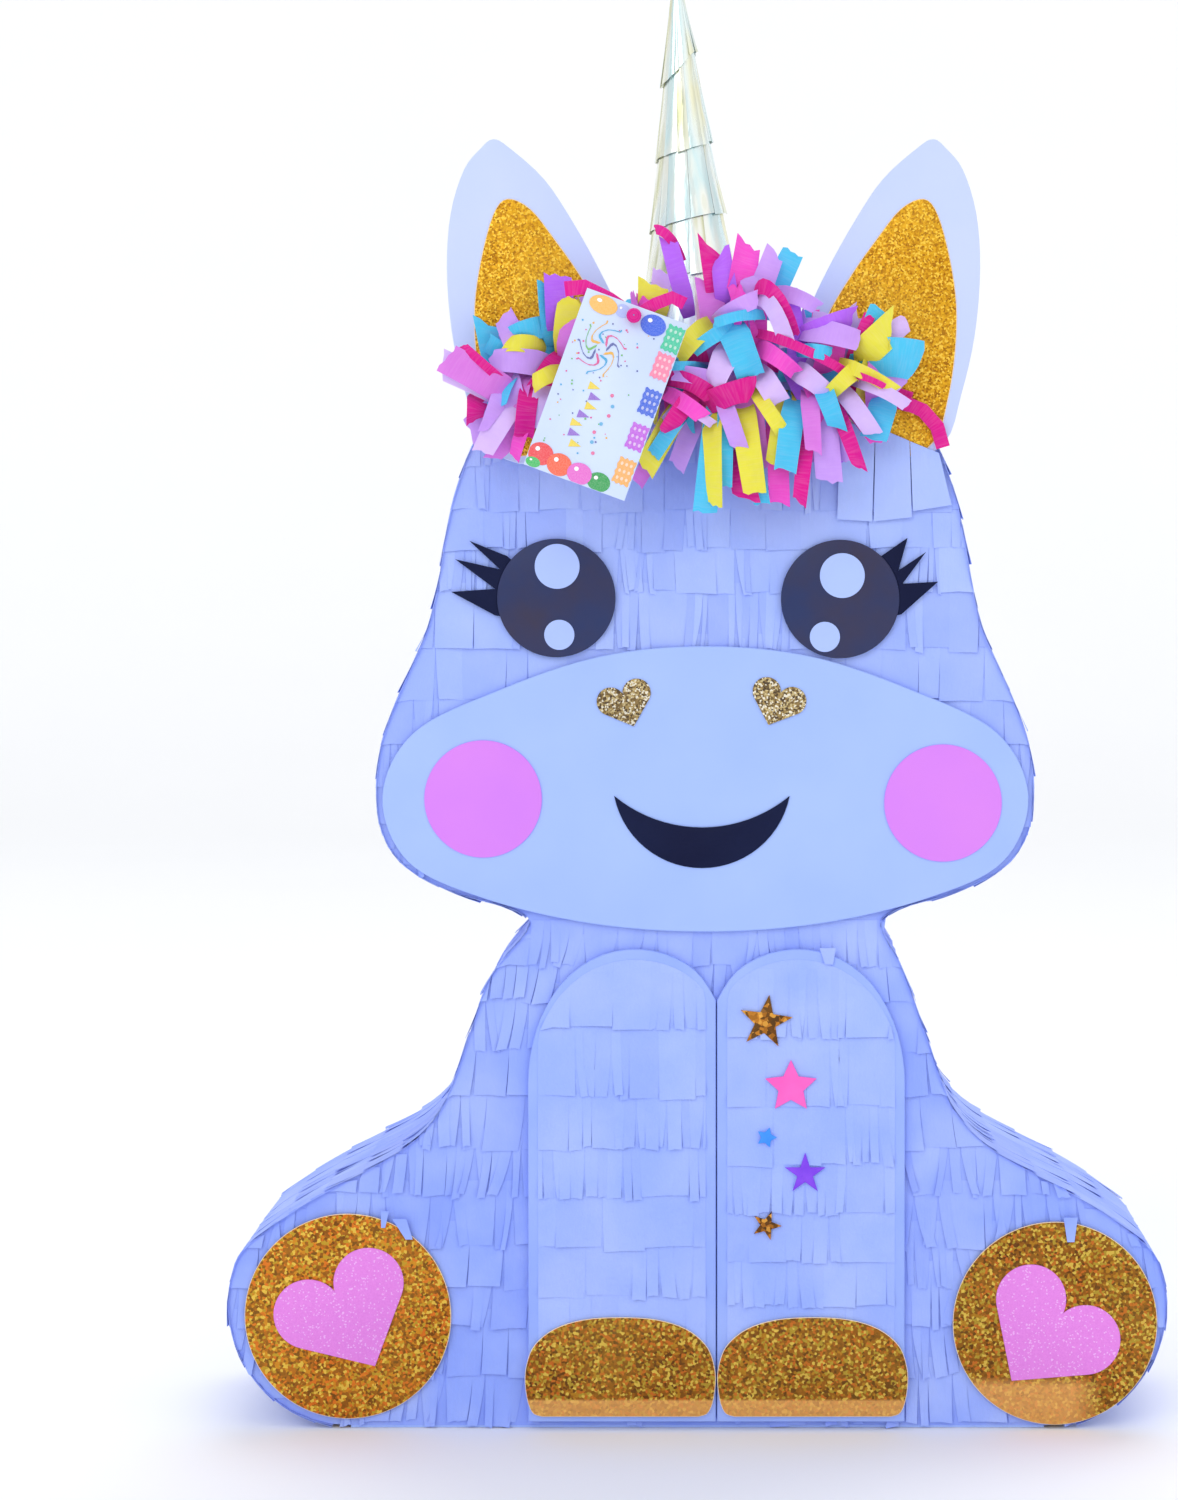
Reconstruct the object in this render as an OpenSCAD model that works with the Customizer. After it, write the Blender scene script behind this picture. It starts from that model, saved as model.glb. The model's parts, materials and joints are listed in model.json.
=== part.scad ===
// Seated baby unicorn party pinata: a flat-backed cardboard box cut to a profile,
// covered in fringed tissue, with card features, a foil horn, a crepe mane,
// a filling flap in the back and a swinging gift tag.
// Frame: +Z up, the face looks along -Y, origin at the middle of the base it sits on.

/* [Shell] */
// Depth of the cardboard box from front face to back face
shell_depth = 110; // [96:1:130]
// Thickness of the corrugated front and back panels
panel_t = 3; // [2:0.5:4]
// Thickness of the bent cardboard bands between the panels
band_t = 2; // [1.5:0.5:3]
// Thickness of the layered tissue on the faces
tissue_t = 2; // [1:0.5:3]
// Thickness of the tissue on the bands
edge_tissue_t = 1.5; // [1:0.5:2]
// Radius of the rounded feet of the profile
foot_r = 60; // [58:1:61]

/* [Filling flap] */
// Width of the filling opening in the back
flap_w = 100; // [70:1:130]
// Height of the filling opening
flap_h = 70; // [50:1:80]
// Height of the flap's fold line above the base
flap_fold_z = 455; // [440:1:465]
// Width of the cut line round the flap
flap_gap = 0.6; // [0.4:0.1:1.5]

/* [Hanging] */
// Radius of the two holes for the hanging rope
rope_hole_r = 3.5; // [3:0.5:5]
// Distance between the two rope holes
rope_hole_pitch = 30; // [26:1:40]

/* [Horn] */
// Length of the horn along its slant
horn_h = 169; // [140:1:190]
// Radius of the horn at its foot
horn_r = 25; // [20:0.5:28]
// Radius of the horn at its tip
horn_tip_r = 3; // [2.5:0.5:5]
// Number of foil bands wound round the horn
horn_bands = 6; // [4:1:8]
// Lean of the horn to one side in degrees
horn_lean = 2.8; // [0:0.1:5]

/* [Gift tag] */
// Width of the tag
tag_w = 51; // [45:1:55]
// Length of the tag
tag_l = 89; // [80:1:95]
// Thickness of the tag
tag_t = 0.4; // [0.3:0.1:0.8]
// How far the tag leans from hanging straight, in degrees
tag_lean = 20; // [0:1:25]

/* [Hidden] */

// colours of the papers
tissue_blue = [0.63, 0.71, 1.0];
smooth_blue = [0.67, 0.76, 1.0];
ear_white = [0.80, 0.85, 1.0];
board_brown = [0.72, 0.58, 0.42];
tape_cream = [0.90, 0.85, 0.70];
glitter_gold = [0.84, 0.62, 0.17];
sequin_gold = [0.66, 0.45, 0.15];
foil_gold = [0.88, 0.92, 0.80];
ink = [0.09, 0.11, 0.22];
iris = [0.27, 0.27, 0.40];
candy_pink = [0.90, 0.54, 0.93];
star_hot_pink = [1.0, 0.42, 0.78];
star_sky = [0.27, 0.59, 1.0];
star_violet = [0.53, 0.28, 0.94];
crepe_magenta = [0.80, 0.20, 0.60];
crepe_lilac = [0.75, 0.60, 0.95];

// depths of the layers, all measured along Y from the middle of the box
front_y = -shell_depth / 2;      // outer face of the front panel
back_y = shell_depth / 2;        // outer face of the back panel
skin_y = front_y - tissue_t;     // outer face of the front tissue
ear_t = 1.8;
card_t = 1.5;
sticker_t = 0.8;
foreleg_t = 3;
foreleg_skin_t = 1;
foreleg_y = skin_y - foreleg_t - foreleg_skin_t;
ribbon_t = 3;                    // the ribbon the tufts are tied to
mane_y = skin_y - ribbon_t;      // back of the crepe tufts
mane_t = 34;
tag_gap = 4;                     // air between the tufts and the tag
tag_y = mane_y - mane_t - tag_gap;

// profile of the box, right half, seen from the front
base_z = 1;                      // the base paper is below it
foot_x = 171.5;
foot_end_angle = 20;             // where the round foot turns into the top of the leg
foot_steps = 12;
leg_shift = -4;                  // the legs stand a little to the left of the middle
head_shift = -0.2;               // and the head hardly
shift_low_z = 215;
shift_high_z = 255;
crown_z = 537.5;
crown_flat_x = 34;               // half width of the level top that carries the horn
side_points = [
    [220, 92], [203, 105], [186, 115.5], [161, 129], [139, 143], [123.5, 163], [112.5, 194],
    [101, 225], [87.5, 246], [87.5, 253.5], [99.5, 259.5], [122, 265.5], [145, 277],
    [157.5, 293], [161, 314.5],
    [158, 340.5], [147.5, 368], [136, 394], [130, 419], [126, 443.5], [120.5, 466],
    [110.5, 490], [92, 512], [66, 529]
];
span_steps = 4;
neck_span = 10;                  // side_points span where the leg band meets the head band
ear_span = 22;                   // side_points span where the head band meets the crown band
card_steps = 8;

// ---------------------------------------------------------------- curves
// a point of the smooth curve between b and c, whose neighbours are a and d
function catmull(a, b, c, d, t) =
    0.5 * (2 * b + (c - a) * t + (2 * a - 5 * b + 4 * c - d) * t * t
           + (3 * b - a - 3 * c + d) * t * t * t);

// an open smooth curve through points, leaving out its last point
function open_curve(before, points, after, steps) = [
    for (i = [0:len(points) - 2], k = [0:steps - 1])
        catmull(i == 0 ? before : points[i - 1], points[i], points[i + 1],
                i == len(points) - 2 ? after : points[i + 2], k / steps)
];

// a closed smooth curve through points
function closed_curve(points, steps) = [
    for (i = [0:len(points) - 1], k = [0:steps - 1])
        let (n = len(points))
        catmull(points[(i + n - 1) % n], points[i], points[(i + 1) % n],
                points[(i + 2) % n], k / steps)
];

function arc(cx, cz, r, from, to, steps) = [
    for (k = [0:steps]) let (a = from + (to - from) * k / steps)
        [cx + r * cos(a), cz + r * sin(a)]
];

function mirrored(points) = [
    for (i = [len(points) - 1:-1:0]) [-points[i][0], points[i][1]]
];

function slice(list, first, last) = [for (i = [first:last]) list[i]];

// outward unit normal of a loop that runs counterclockwise
function normal_at(loop, i) =
    let (n = len(loop), d = loop[(i + 1) % n] - loop[(i + n - 1) % n])
    [d[1], -d[0]] / norm(d);

// the loop moved outwards by distance
function grown(loop, distance) = [
    for (i = [0:len(loop) - 1]) loop[i] + distance * normal_at(loop, i)
];

// how far the profile stands to the side at a height
function shift_at(z) =
    let (t = max(0, min(1, (z - shift_low_z) / (shift_high_z - shift_low_z))))
    leg_shift + (head_shift - leg_shift) * t * t * (3 - 2 * t);

foot_arc = arc(foot_x, base_z + foot_r, foot_r, -90, foot_end_angle, foot_steps);
foot_end = foot_arc[foot_steps];
side_curve = open_curve(foot_arc[foot_steps - 2],
                        concat([foot_end], side_points, [[crown_flat_x, crown_z]]),
                        [0, crown_z], span_steps);
right_half = concat(foot_arc, slice(side_curve, 1, len(side_curve) - 1), [[crown_flat_x, crown_z]]);
outline = [for (p = concat(right_half, mirrored(right_half))) [p[0] + shift_at(p[1]), p[1]]];

last = len(outline) - 1;
neck_at = foot_steps + neck_span * span_steps;
ear_at = foot_steps + ear_span * span_steps;
tissue_from = 2;                 // the foot's underside is left to the base paper

// ---------------------------------------------------------------- helpers
// a flat shape in the X-Z plane given a thickness between two depths
module plate(y_low, y_high) {
    translate([0, y_high, 0]) rotate([90, 0, 0]) linear_extrude(y_high - y_low) children();
}

// the strip between two offsets of the outline, from one of its points to another
module strip(first, last, inner, outer) {
    inner_loop = grown(outline, inner);
    outer_loop = grown(outline, outer);
    polygon(concat(slice(outer_loop, first, last),
                   [for (i = [last:-1:first]) inner_loop[i]]));
}

module ring(inner, outer) {
    difference() {
        polygon(grown(outline, outer));
        polygon(grown(outline, inner));
    }
}

module on_side(side) {
    if (side == "left") mirror([1, 0, 0]) children();
    else children();
}

// the two ends of a stretch of the outline, on the right or on the left
function stretch(side, from, to) = side == "left" ? [last - to, last - from] : [from, to];

module rope_holes(z_low, z_high, r) {
    for (s = [-1, 1])
        translate([s * rope_hole_pitch / 2, hanger_mid_y, z_low])
            cylinder(r = r, h = z_high - z_low, $fn = 48);
}

// ---------------------------------------------------------------- cardboard box
hanger_t = 3;
hole_reach = 10;                 // how far the rope holes are cut beyond the sheets they pass
tissue_clear = 2.5;              // the tissue is cut back this far from the rope holes
hanger_w = 64;
hanger_low_y = 13;
hanger_high_y = 39;
hanger_mid_y = (hanger_low_y + hanger_high_y) / 2;
tape_w = 12;
tape_t = 0.3;

module flap_outline(margin) {
    translate([-flap_w / 2 + margin, flap_fold_z - flap_h + margin])
        square([flap_w - 2 * margin, flap_h - 2 * margin]);
}

module front_panel() {
    color(board_brown) plate(front_y, front_y + panel_t) polygon(outline);
}

module back_panel() {
    color(board_brown) plate(back_y - panel_t, back_y) difference() {
        polygon(outline);
        flap_outline(0);
    }
}

module band(ends) {
    color(board_brown) plate(front_y + panel_t, back_y - panel_t) strip(ends[0], ends[1], -band_t, 0);
}

module base_band() {
    color(board_brown) plate(front_y + panel_t, back_y - panel_t)
        translate([leg_shift - foot_x, base_z]) square([2 * foot_x, band_t]);
}

module leg_band(side) {
    band(stretch(side, 0, neck_at));
}

module head_band(side) {
    band(stretch(side, neck_at, ear_at));
}

module crown_band() {
    difference() {
        band([ear_at, last - ear_at]);
        color(board_brown) rope_holes(crown_z - hole_reach, crown_z + hole_reach, rope_hole_r);
    }
}

module seam_tape(y_low) {
    color(tape_cream) plate(y_low, y_low + tape_w) ring(-band_t - tape_t, -band_t);
}

module hanger_plate() {
    top = crown_z - band_t;
    color(board_brown) difference() {
        translate([-hanger_w / 2, hanger_low_y, top - hanger_t])
            cube([hanger_w, hanger_high_y - hanger_low_y, hanger_t]);
        rope_holes(top - hole_reach, top + hole_reach, rope_hole_r);
    }
}

// ---------------------------------------------------------------- tissue covering
module base_paper() {
    color(smooth_blue) translate([leg_shift - foot_x, front_y, 0])
        cube([2 * foot_x, shell_depth, base_z]);
}

module front_tissue() {
    color(tissue_blue) plate(skin_y, front_y) polygon(outline);
}

module back_tissue() {
    color(tissue_blue) plate(back_y, back_y + tissue_t) difference() {
        polygon(outline);
        flap_outline(0);
    }
}

module edge_tissue(ends) {
    color(tissue_blue) plate(skin_y, back_y + tissue_t) strip(ends[0], ends[1], 0, edge_tissue_t);
}

module leg_tissue(side) {
    edge_tissue(stretch(side, tissue_from, neck_at));
}

module head_tissue(side) {
    edge_tissue(stretch(side, neck_at, ear_at));
}

module crown_tissue() {
    difference() {
        edge_tissue([ear_at, last - ear_at]);
        color(tissue_blue)
            rope_holes(crown_z - hole_reach, crown_z + hole_reach, rope_hole_r + tissue_clear);
    }
}

// ---------------------------------------------------------------- filling flap
module fill_flap() {
    color(board_brown) plate(back_y - panel_t, back_y) flap_outline(flap_gap);
}

module flap_tissue() {
    color(tissue_blue) plate(back_y, back_y + tissue_t) flap_outline(flap_gap);
}

// ---------------------------------------------------------------- ears
ear_shift = 4;                   // the pair of ears stands a little off the box's middle
inner_ear_shift = 5;
ear_points = [
    [112.5, 486], [121, 510], [127.5, 539], [130, 571], [128, 598], [121.5, 619],
    [113.5, 629.2], [107.2, 633.9], [99.5, 629.8], [82.5, 614.5], [68.7, 594], [55.3, 570],
    [47, 551], [43, 528], [58, 497], [88, 476]
];
inner_ear_points = [
    [107, 487], [113.5, 507], [117, 530], [117.6, 553], [114.5, 575], [108.5, 597],
    [101.5, 605], [90, 600], [78, 585], [66, 568], [54, 547], [50, 526], [63, 500], [90, 480]
];

module ear(side) {
    translate([ear_shift, 0, 0]) on_side(side)
        color(ear_white) plate(skin_y - ear_t, skin_y) polygon(closed_curve(ear_points, span_steps));
}

module inner_ear(side) {
    translate([inner_ear_shift, 0, 0]) on_side(side)
        color(glitter_gold) plate(skin_y - ear_t - sticker_t, skin_y - ear_t)
            polygon(closed_curve(inner_ear_points, span_steps));
}

// ---------------------------------------------------------------- horn
horn_x = -6;
horn_y = -12;
horn_wall = 0.8;
foil_t = 0.6;
horn_gap = 0.4;                  // between the foil bands, and under the horn's foot
horn_foot_z = crown_z + edge_tissue_t + horn_r * sin(horn_lean) + horn_gap;

module at_horn() {
    translate([horn_x, horn_y, horn_foot_z]) rotate([0, -horn_lean, 0]) children();
}

function horn_radius(h) = horn_r + (horn_tip_r - horn_r) * h / horn_h;

module horn_cone() {
    color(smooth_blue) at_horn() rotate_extrude($fn = 64)
        polygon([[horn_r - horn_wall, 0], [horn_r, 0], [horn_tip_r, horn_h], [0, horn_h],
                 [0, horn_h - horn_wall], [horn_tip_r - horn_wall, horn_h - horn_wall]]);
}

module horn_foil() {
    pitch = horn_h / horn_bands;
    color(foil_gold) at_horn() for (i = [0:horn_bands - 1]) {
        low = i * pitch;
        high = low + pitch - horn_gap;
        rotate_extrude($fn = 64)
            polygon([[horn_radius(low), low], [horn_radius(low) + 2 * foil_t, low],
                     [horn_radius(high) + foil_t, high], [horn_radius(high), high]]);
    }
}

// ---------------------------------------------------------------- face
muzzle_points = [
    [0, 387], [51.5, 382], [101, 365.5], [143, 344.5], [158.5, 313], [146, 281],
    [109, 263], [56, 250.5], [0, 246.5]
];
cheek_r = 28.8;
cheek_spot = [[-109, 312], [116.5, 310]];
heart_spread = 0.97;             // how far each lobe stands from the middle, in lobe radii
heart_drop = 2.2;                // how far the point hangs below the lobes, in lobe radii
nostril_spot = [[-40, 362], [36.3, 362.5]];
nostril_turn = [19, -21];
nostril_r = 6.9;
mouth_spot = [-1.7, 313.5];
mouth_half_w = 43;
mouth_outer_sag = 35.5;
mouth_inner_sag = 15.5;
eye_r = 29;
eye_spot = [[-73, 410.5], [66, 410]];
shine_r = [11, 7.4];
shine_spots = [[[-72.5, 426], [-71.5, 392.5]], [[67, 421.5], [58.5, 391.5]]];
lash_t = 0.6;
lash_gap = 0.05;
eye_t = 1.2;
shine_t = 0.5;

function index(side) = side == "left" ? 0 : 1;

module muzzle() {
    half = concat(open_curve([-51.5, 382], muzzle_points, [-56, 250.5], card_steps),
                  [muzzle_points[len(muzzle_points) - 1]]);
    color(smooth_blue) plate(skin_y - card_t, skin_y)
        polygon(concat([for (i = [len(half) - 1:-1:0]) half[i]],
                       slice([for (p = half) [-p[0], p[1]]], 1, len(half) - 2)));
}

module cheek(side) {
    color(candy_pink) plate(skin_y - card_t - sticker_t, skin_y - card_t)
        translate(cheek_spot[index(side)]) circle(r = cheek_r, $fn = 96);
}

// a heart, its point down, placed by the middle of its two round lobes of radius r
module heart(r) {
    lobe = heart_spread * r;
    drop = heart_drop * r;
    reach = norm([lobe, drop]);
    lean = atan2(lobe, drop) + asin(r / reach);
    touch = sqrt(reach * reach - r * r) * [sin(lean), cos(lean)] - [0, drop];
    polygon([[0, -drop], touch, [lobe, 0], [-lobe, 0], [-touch[0], touch[1]]]);
    for (s = [-1, 1]) translate([s * lobe, 0]) circle(r = r, $fn = 64);
}

module nostril(side) {
    i = index(side);
    color(glitter_gold) plate(skin_y - card_t - sticker_t, skin_y - card_t)
        translate(nostril_spot[i]) rotate(nostril_turn[i]) heart(nostril_r);
}

// the radius of an arc from its half chord and its sag
function sag_radius(half_chord, sag) = (half_chord * half_chord + sag * sag) / (2 * sag);

// points of a hanging arc between two tips
function hanging_arc(half_chord, sag, steps) =
    let (r = sag_radius(half_chord, sag), half = asin(half_chord / r))
    [for (k = [0:steps]) let (a = -half + 2 * half * k / steps)
        [r * sin(a), r - sag - r * cos(a)]];

module mouth() {
    low = hanging_arc(mouth_half_w, mouth_outer_sag, 28);
    high = hanging_arc(mouth_half_w, mouth_inner_sag, 20);
    color(ink) plate(skin_y - card_t - sticker_t, skin_y - card_t) translate(mouth_spot)
        polygon(concat(low, [for (i = [len(high) - 2:-1:1]) high[i]]));
}

module eye(side) {
    color(iris) plate(skin_y - eye_t, skin_y)
        translate(eye_spot[index(side)]) circle(r = eye_r, $fn = 96);
}

module eye_shine(side) {
    spots = shine_spots[index(side)];
    color(smooth_blue) plate(skin_y - eye_t - shine_t, skin_y - eye_t)
        for (k = [0, 1]) translate(spots[k]) circle(r = shine_r[k], $fn = 64);
}

// lashes point away from the middle of the face, and their roots meet the eye's rim
lash_fans = [
    [[-97, 431], [-115.5, 438.5], [-100.5, 424.5], [-122.5, 429.5], [-103, 415],
     [-124.5, 413.5], [-103, 402], [-90, 400], [-85, 420]],
    [[86, 431], [99, 440], [94.5, 424], [108, 433], [96.5, 417.5], [114, 418.5],
     [96, 402.5], [84, 400], [76, 420]]
];

module lashes(side) {
    i = index(side);
    color(ink) plate(skin_y - lash_t, skin_y) difference() {
        polygon(lash_fans[i]);
        translate(eye_spot[i]) circle(r = eye_r + lash_gap, $fn = 96);
    }
}

// ---------------------------------------------------------------- forelegs and feet
seam_x = 5.4;                    // where the two forelegs meet
foreleg_gap = 0.3;
foreleg_w = 92.5;
foreleg_low_z = 4;
foreleg_top = [
    [0, 213], [10, 227.5], [25.5, 236], [43.5, 238], [61, 233], [76, 221], [86.5, 203],
    [91.5, 184], [92.5, 165]
];
foreleg_before = [-8, 195];      // where the curve of the arch would come from
foreleg_after = [92.5, 140];     // and where it would go on to
foreleg_border = 5;              // smooth border round the foreleg's tissue
arch_steps = 3;
hoof_low_z = 7;
hoof_h = 49.5;
hoof_gap = 0.1;                  // from its widest point to the seam between the legs
hoof_sole_x = 38.5;              // half the width of its level sole
hoof_before = [20, -1];          // where the curve of its corner would come from
hoof_points = [[44.5, 4], [47, 16.5], [46, 27], [42, 36], [32.3, 43.8], [18, 48.3]];
foot_pad_r = [51, 50.5];
foot_pad_spot = [[-176.5, 56], [172.5, 52.5]];
foot_heart_spot = [[-181, 65], [174, 54.5]];
foot_heart_turn = [28, -37];
foot_heart_r = 17.3;
foot_pad_t = 1;

module at_foreleg(side) {
    translate([seam_x, 0, 0]) on_side(side) translate([foreleg_gap, 0, 0]) children();
}

module foreleg_outline(inset) {
    top = open_curve(foreleg_before, foreleg_top, foreleg_after, arch_steps);
    polygon(concat([[inset, foreleg_low_z + inset]], [[foreleg_w - inset, foreleg_low_z + inset]],
                   [for (i = [len(top) - 1:-1:0])
                       [min(max(top[i][0], inset), foreleg_w - inset), top[i][1] - inset]]));
}

module foreleg(side) {
    color(smooth_blue) at_foreleg(side) plate(skin_y - foreleg_t, skin_y) foreleg_outline(0);
}

module foreleg_tissue(side) {
    color(tissue_blue) at_foreleg(side) plate(foreleg_y, skin_y - foreleg_t)
        foreleg_outline(foreleg_border);
}

// a domed hoof with a level sole and rounded lower corners
module hoof(side) {
    last_point = hoof_points[len(hoof_points) - 1];
    right = open_curve(hoof_before, concat([[hoof_sole_x, 0]], hoof_points, [[0, hoof_h]]),
                       [-last_point[0], last_point[1]], span_steps);
    color(sequin_gold) at_foreleg(side) plate(foreleg_y - sticker_t, foreleg_y)
        translate([hoof_points[1][0] + hoof_gap, hoof_low_z])
            polygon(concat(right, [[0, hoof_h]], mirrored(right)));
}

module foot_pad(side) {
    i = index(side);
    color(sequin_gold) plate(skin_y - foot_pad_t, skin_y)
        translate(foot_pad_spot[i]) circle(r = foot_pad_r[i], $fn = 128);
}

module foot_heart(side) {
    i = index(side);
    color(candy_pink) plate(skin_y - foot_pad_t - sticker_t, skin_y - foot_pad_t)
        translate(foot_heart_spot[i]) rotate(foot_heart_turn[i]) heart(foot_heart_r);
}

// ---------------------------------------------------------------- stars
// a five-pointed star: its long radius, how deep it is cut, and its turn
module star(spot, r, waist, turn, paint) {
    color(paint) plate(foreleg_y - sticker_t, foreleg_y) translate(spot) rotate(turn)
        polygon([for (k = [0:9]) let (a = 90 + 36 * k, d = k % 2 == 0 ? r : r * waist)
            [d * cos(a), d * sin(a)]]);
}

module star_gold_large() { star([29.5, 202.5], 13.6, 0.40, -8, sequin_gold); }
module star_pink() { star([42, 170.5], 13.4, 0.48, 0, star_hot_pink); }
module star_blue() { star([30, 145.5], 5.2, 0.52, -18, star_sky); }
module star_purple() { star([49, 127.5], 10.6, 0.38, 0, star_violet); }
module star_gold_small() { star([30, 102], 7.6, 0.40, -20, sequin_gold); }

// ---------------------------------------------------------------- mane
mane_points = [
    [-128, 522], [-112, 548], [-86, 566], [-58, 566], [-24, 574], [14, 580], [46, 574],
    [74, 556], [104, 548], [108, 522], [98, 492], [74, 466], [40, 454], [0, 460],
    [-40, 478], [-74, 490], [-104, 480], [-120, 498]
];
mane_split = [-62, 20];          // where the three tufts meet
mane_reach = 160;                // beyond the ends of the mane
mane_low_z = 400;                // and below it
mane_top_z = 620;                // and above it
mane_over = 1;                   // cutting box past the front and back of the mane
mane_steps = 5;
ribbon_before = [-130, 488];
ribbon_points = [
    [-112, 500], [-80, 515], [-30, 522], [25, 522], [70, 510], [100, 494], [116, 484]
];
ribbon_after = [128, 474];
ribbon_w = 8;

module mane_part(x_low, x_high) {
    color(crepe_lilac) intersection() {
        plate(mane_y - mane_t, mane_y) polygon(closed_curve(mane_points, mane_steps));
        translate([x_low, mane_y - mane_t - mane_over, mane_low_z])
            cube([x_high - x_low, mane_t + mane_over * 2, mane_top_z - mane_low_z]);
    }
}

module mane_left() { mane_part(-mane_reach, mane_split[0]); }
module mane_middle() { mane_part(mane_split[0], mane_split[1]); }
module mane_right() { mane_part(mane_split[1], mane_reach); }

// the folded crepe ribbon that the tufts are tied to, cut away round the ears
module mane_ribbon() {
    low = open_curve(ribbon_before, ribbon_points, ribbon_after, mane_steps);
    color(crepe_magenta) difference() {
        plate(mane_y, skin_y) polygon(concat(low, [for (i = [len(low) - 1:-1:0]) low[i] + [0, ribbon_w]]));
        for (side = ["left", "right"]) {
            ear(side);
            inner_ear(side);
        }
    }
}

// ---------------------------------------------------------------- gift tag
tag_hole_r = 2.5;
tag_hole_down = 5;               // from the tag's top edge to the hole
tag_hole_spot = [-33.5, 545];
tie_r = 1.6;
tie_l = 6.4;
knot_r = 3.4;
knot_out = 8;                    // from the mane to the middle of the knot

module at_tag_hole(y) {
    translate([tag_hole_spot[0], y, tag_hole_spot[1]]) rotate([90, 0, 0]) children();
}

module tag_tie() {
    color(crepe_magenta) {
        at_tag_hole(mane_y - mane_t) cylinder(r = tie_r, h = tie_l, $fn = 32);
        translate([tag_hole_spot[0], mane_y - mane_t - knot_out, tag_hole_spot[1]])
            sphere(r = knot_r, $fn = 32);
    }
}

module gift_tag() {
    color("white") at_tag_hole(tag_y) rotate(-tag_lean) linear_extrude(tag_t) difference() {
        translate([-tag_w / 2, tag_hole_down - tag_l]) square([tag_w, tag_l]);
        circle(r = tag_hole_r, $fn = 48);
    }
}

// ---------------------------------------------------------------- parts
front_panel();
back_panel();
base_band();
leg_band("left");  // leg_band_left
leg_band("right");  // leg_band_right
head_band("left");  // head_band_left
head_band("right");  // head_band_right
crown_band();
seam_tape(front_y + panel_t);  // seam_tape_front
seam_tape(back_y - panel_t - tape_w);  // seam_tape_back
hanger_plate();
base_paper();
front_tissue();
back_tissue();
leg_tissue("left");  // leg_tissue_left
leg_tissue("right");  // leg_tissue_right
head_tissue("left");  // head_tissue_left
head_tissue("right");  // head_tissue_right
crown_tissue();
fill_flap();
flap_tissue();
ear("left");  // ear_left
ear("right");  // ear_right
inner_ear("left");  // inner_ear_left
inner_ear("right");  // inner_ear_right
horn_cone();
horn_foil();
muzzle();
cheek("left");  // cheek_left
cheek("right");  // cheek_right
nostril("left");  // nostril_left
nostril("right");  // nostril_right
mouth();
eye("left");  // eye_left
eye("right");  // eye_right
eye_shine("left");  // eye_shine_left
eye_shine("right");  // eye_shine_right
lashes("left");  // lashes_left
lashes("right");  // lashes_right
foreleg("left");  // foreleg_left
foreleg("right");  // foreleg_right
foreleg_tissue("left");  // foreleg_tissue_left
foreleg_tissue("right");  // foreleg_tissue_right
hoof("left");  // hoof_left
hoof("right");  // hoof_right
foot_pad("left");  // foot_pad_left
foot_pad("right");  // foot_pad_right
foot_heart("left");  // foot_heart_left
foot_heart("right");  // foot_heart_right
star_gold_large();
star_pink();
star_blue();
star_purple();
star_gold_small();
mane_ribbon();
mane_left();
mane_middle();
mane_right();
tag_tie();
gift_tag();
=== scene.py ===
"""Looks of a seated baby unicorn pinata: fringed tissue, glitter card, a foil horn and a crepe mane.

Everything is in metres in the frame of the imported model: +Z up, the face looks along -Y.
"""

import json
import logging
import math
import random
from dataclasses import dataclass, field, replace
from enum import Enum
from typing import Optional, Sequence, Union

import bpy
import numpy as np
from mathutils import Matrix, Vector


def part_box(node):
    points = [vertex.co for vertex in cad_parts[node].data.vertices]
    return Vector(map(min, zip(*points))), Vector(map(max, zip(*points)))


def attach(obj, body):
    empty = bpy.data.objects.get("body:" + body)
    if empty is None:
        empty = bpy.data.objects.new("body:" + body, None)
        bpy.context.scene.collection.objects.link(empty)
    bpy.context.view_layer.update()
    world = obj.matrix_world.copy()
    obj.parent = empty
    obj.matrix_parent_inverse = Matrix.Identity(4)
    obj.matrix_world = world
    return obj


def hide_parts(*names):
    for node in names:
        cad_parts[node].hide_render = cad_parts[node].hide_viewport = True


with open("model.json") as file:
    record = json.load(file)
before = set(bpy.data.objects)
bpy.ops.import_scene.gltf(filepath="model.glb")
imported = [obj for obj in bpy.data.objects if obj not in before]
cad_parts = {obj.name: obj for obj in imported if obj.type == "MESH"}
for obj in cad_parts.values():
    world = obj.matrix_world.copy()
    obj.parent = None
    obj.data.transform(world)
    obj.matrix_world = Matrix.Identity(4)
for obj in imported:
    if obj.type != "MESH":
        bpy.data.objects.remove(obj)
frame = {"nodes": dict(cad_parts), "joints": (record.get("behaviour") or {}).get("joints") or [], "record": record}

LOG = logging.getLogger("pinata")
MM = 0.001
Colour = tuple[float, float, float, float]
Socket = bpy.types.NodeSocket
Value = Union[Socket, float, Sequence[float]]
Spot = Sequence[float]
WHITE: Colour = (1.0, 1.0, 1.0, 1.0)
PAPER_THICKNESS = 0.16 * MM
# Corners of CAD pieces that lie within a micron are the same corner.
SNAPS_PER_METRE = 1e6
# A triangle belongs to a flat face if its corners are this close to it, in metres.
FLAT_WITHIN = 1e-5
SIDES = ("left", "right")


def srgb(red: float, green: float, blue: float) -> Colour:
    """A shader colour from display values.

    Args:
        red: Red, 0 to 255.
        green: Green, 0 to 255.
        blue: Blue, 0 to 255.

    Returns:
        The linear colour with an alpha of 1.
    """
    def linear(value: float) -> float:
        """One channel made linear."""
        share = value / 255
        return share / 12.92 if share <= 0.04045 else ((share + 0.055) / 1.055) ** 2.4
    return (linear(red), linear(green), linear(blue), 1.0)


class Body(str, Enum):
    """The rigid bodies of the pinata."""

    SHELL = "shell"
    FLAP = "flap"
    TAG = "tag"


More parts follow.
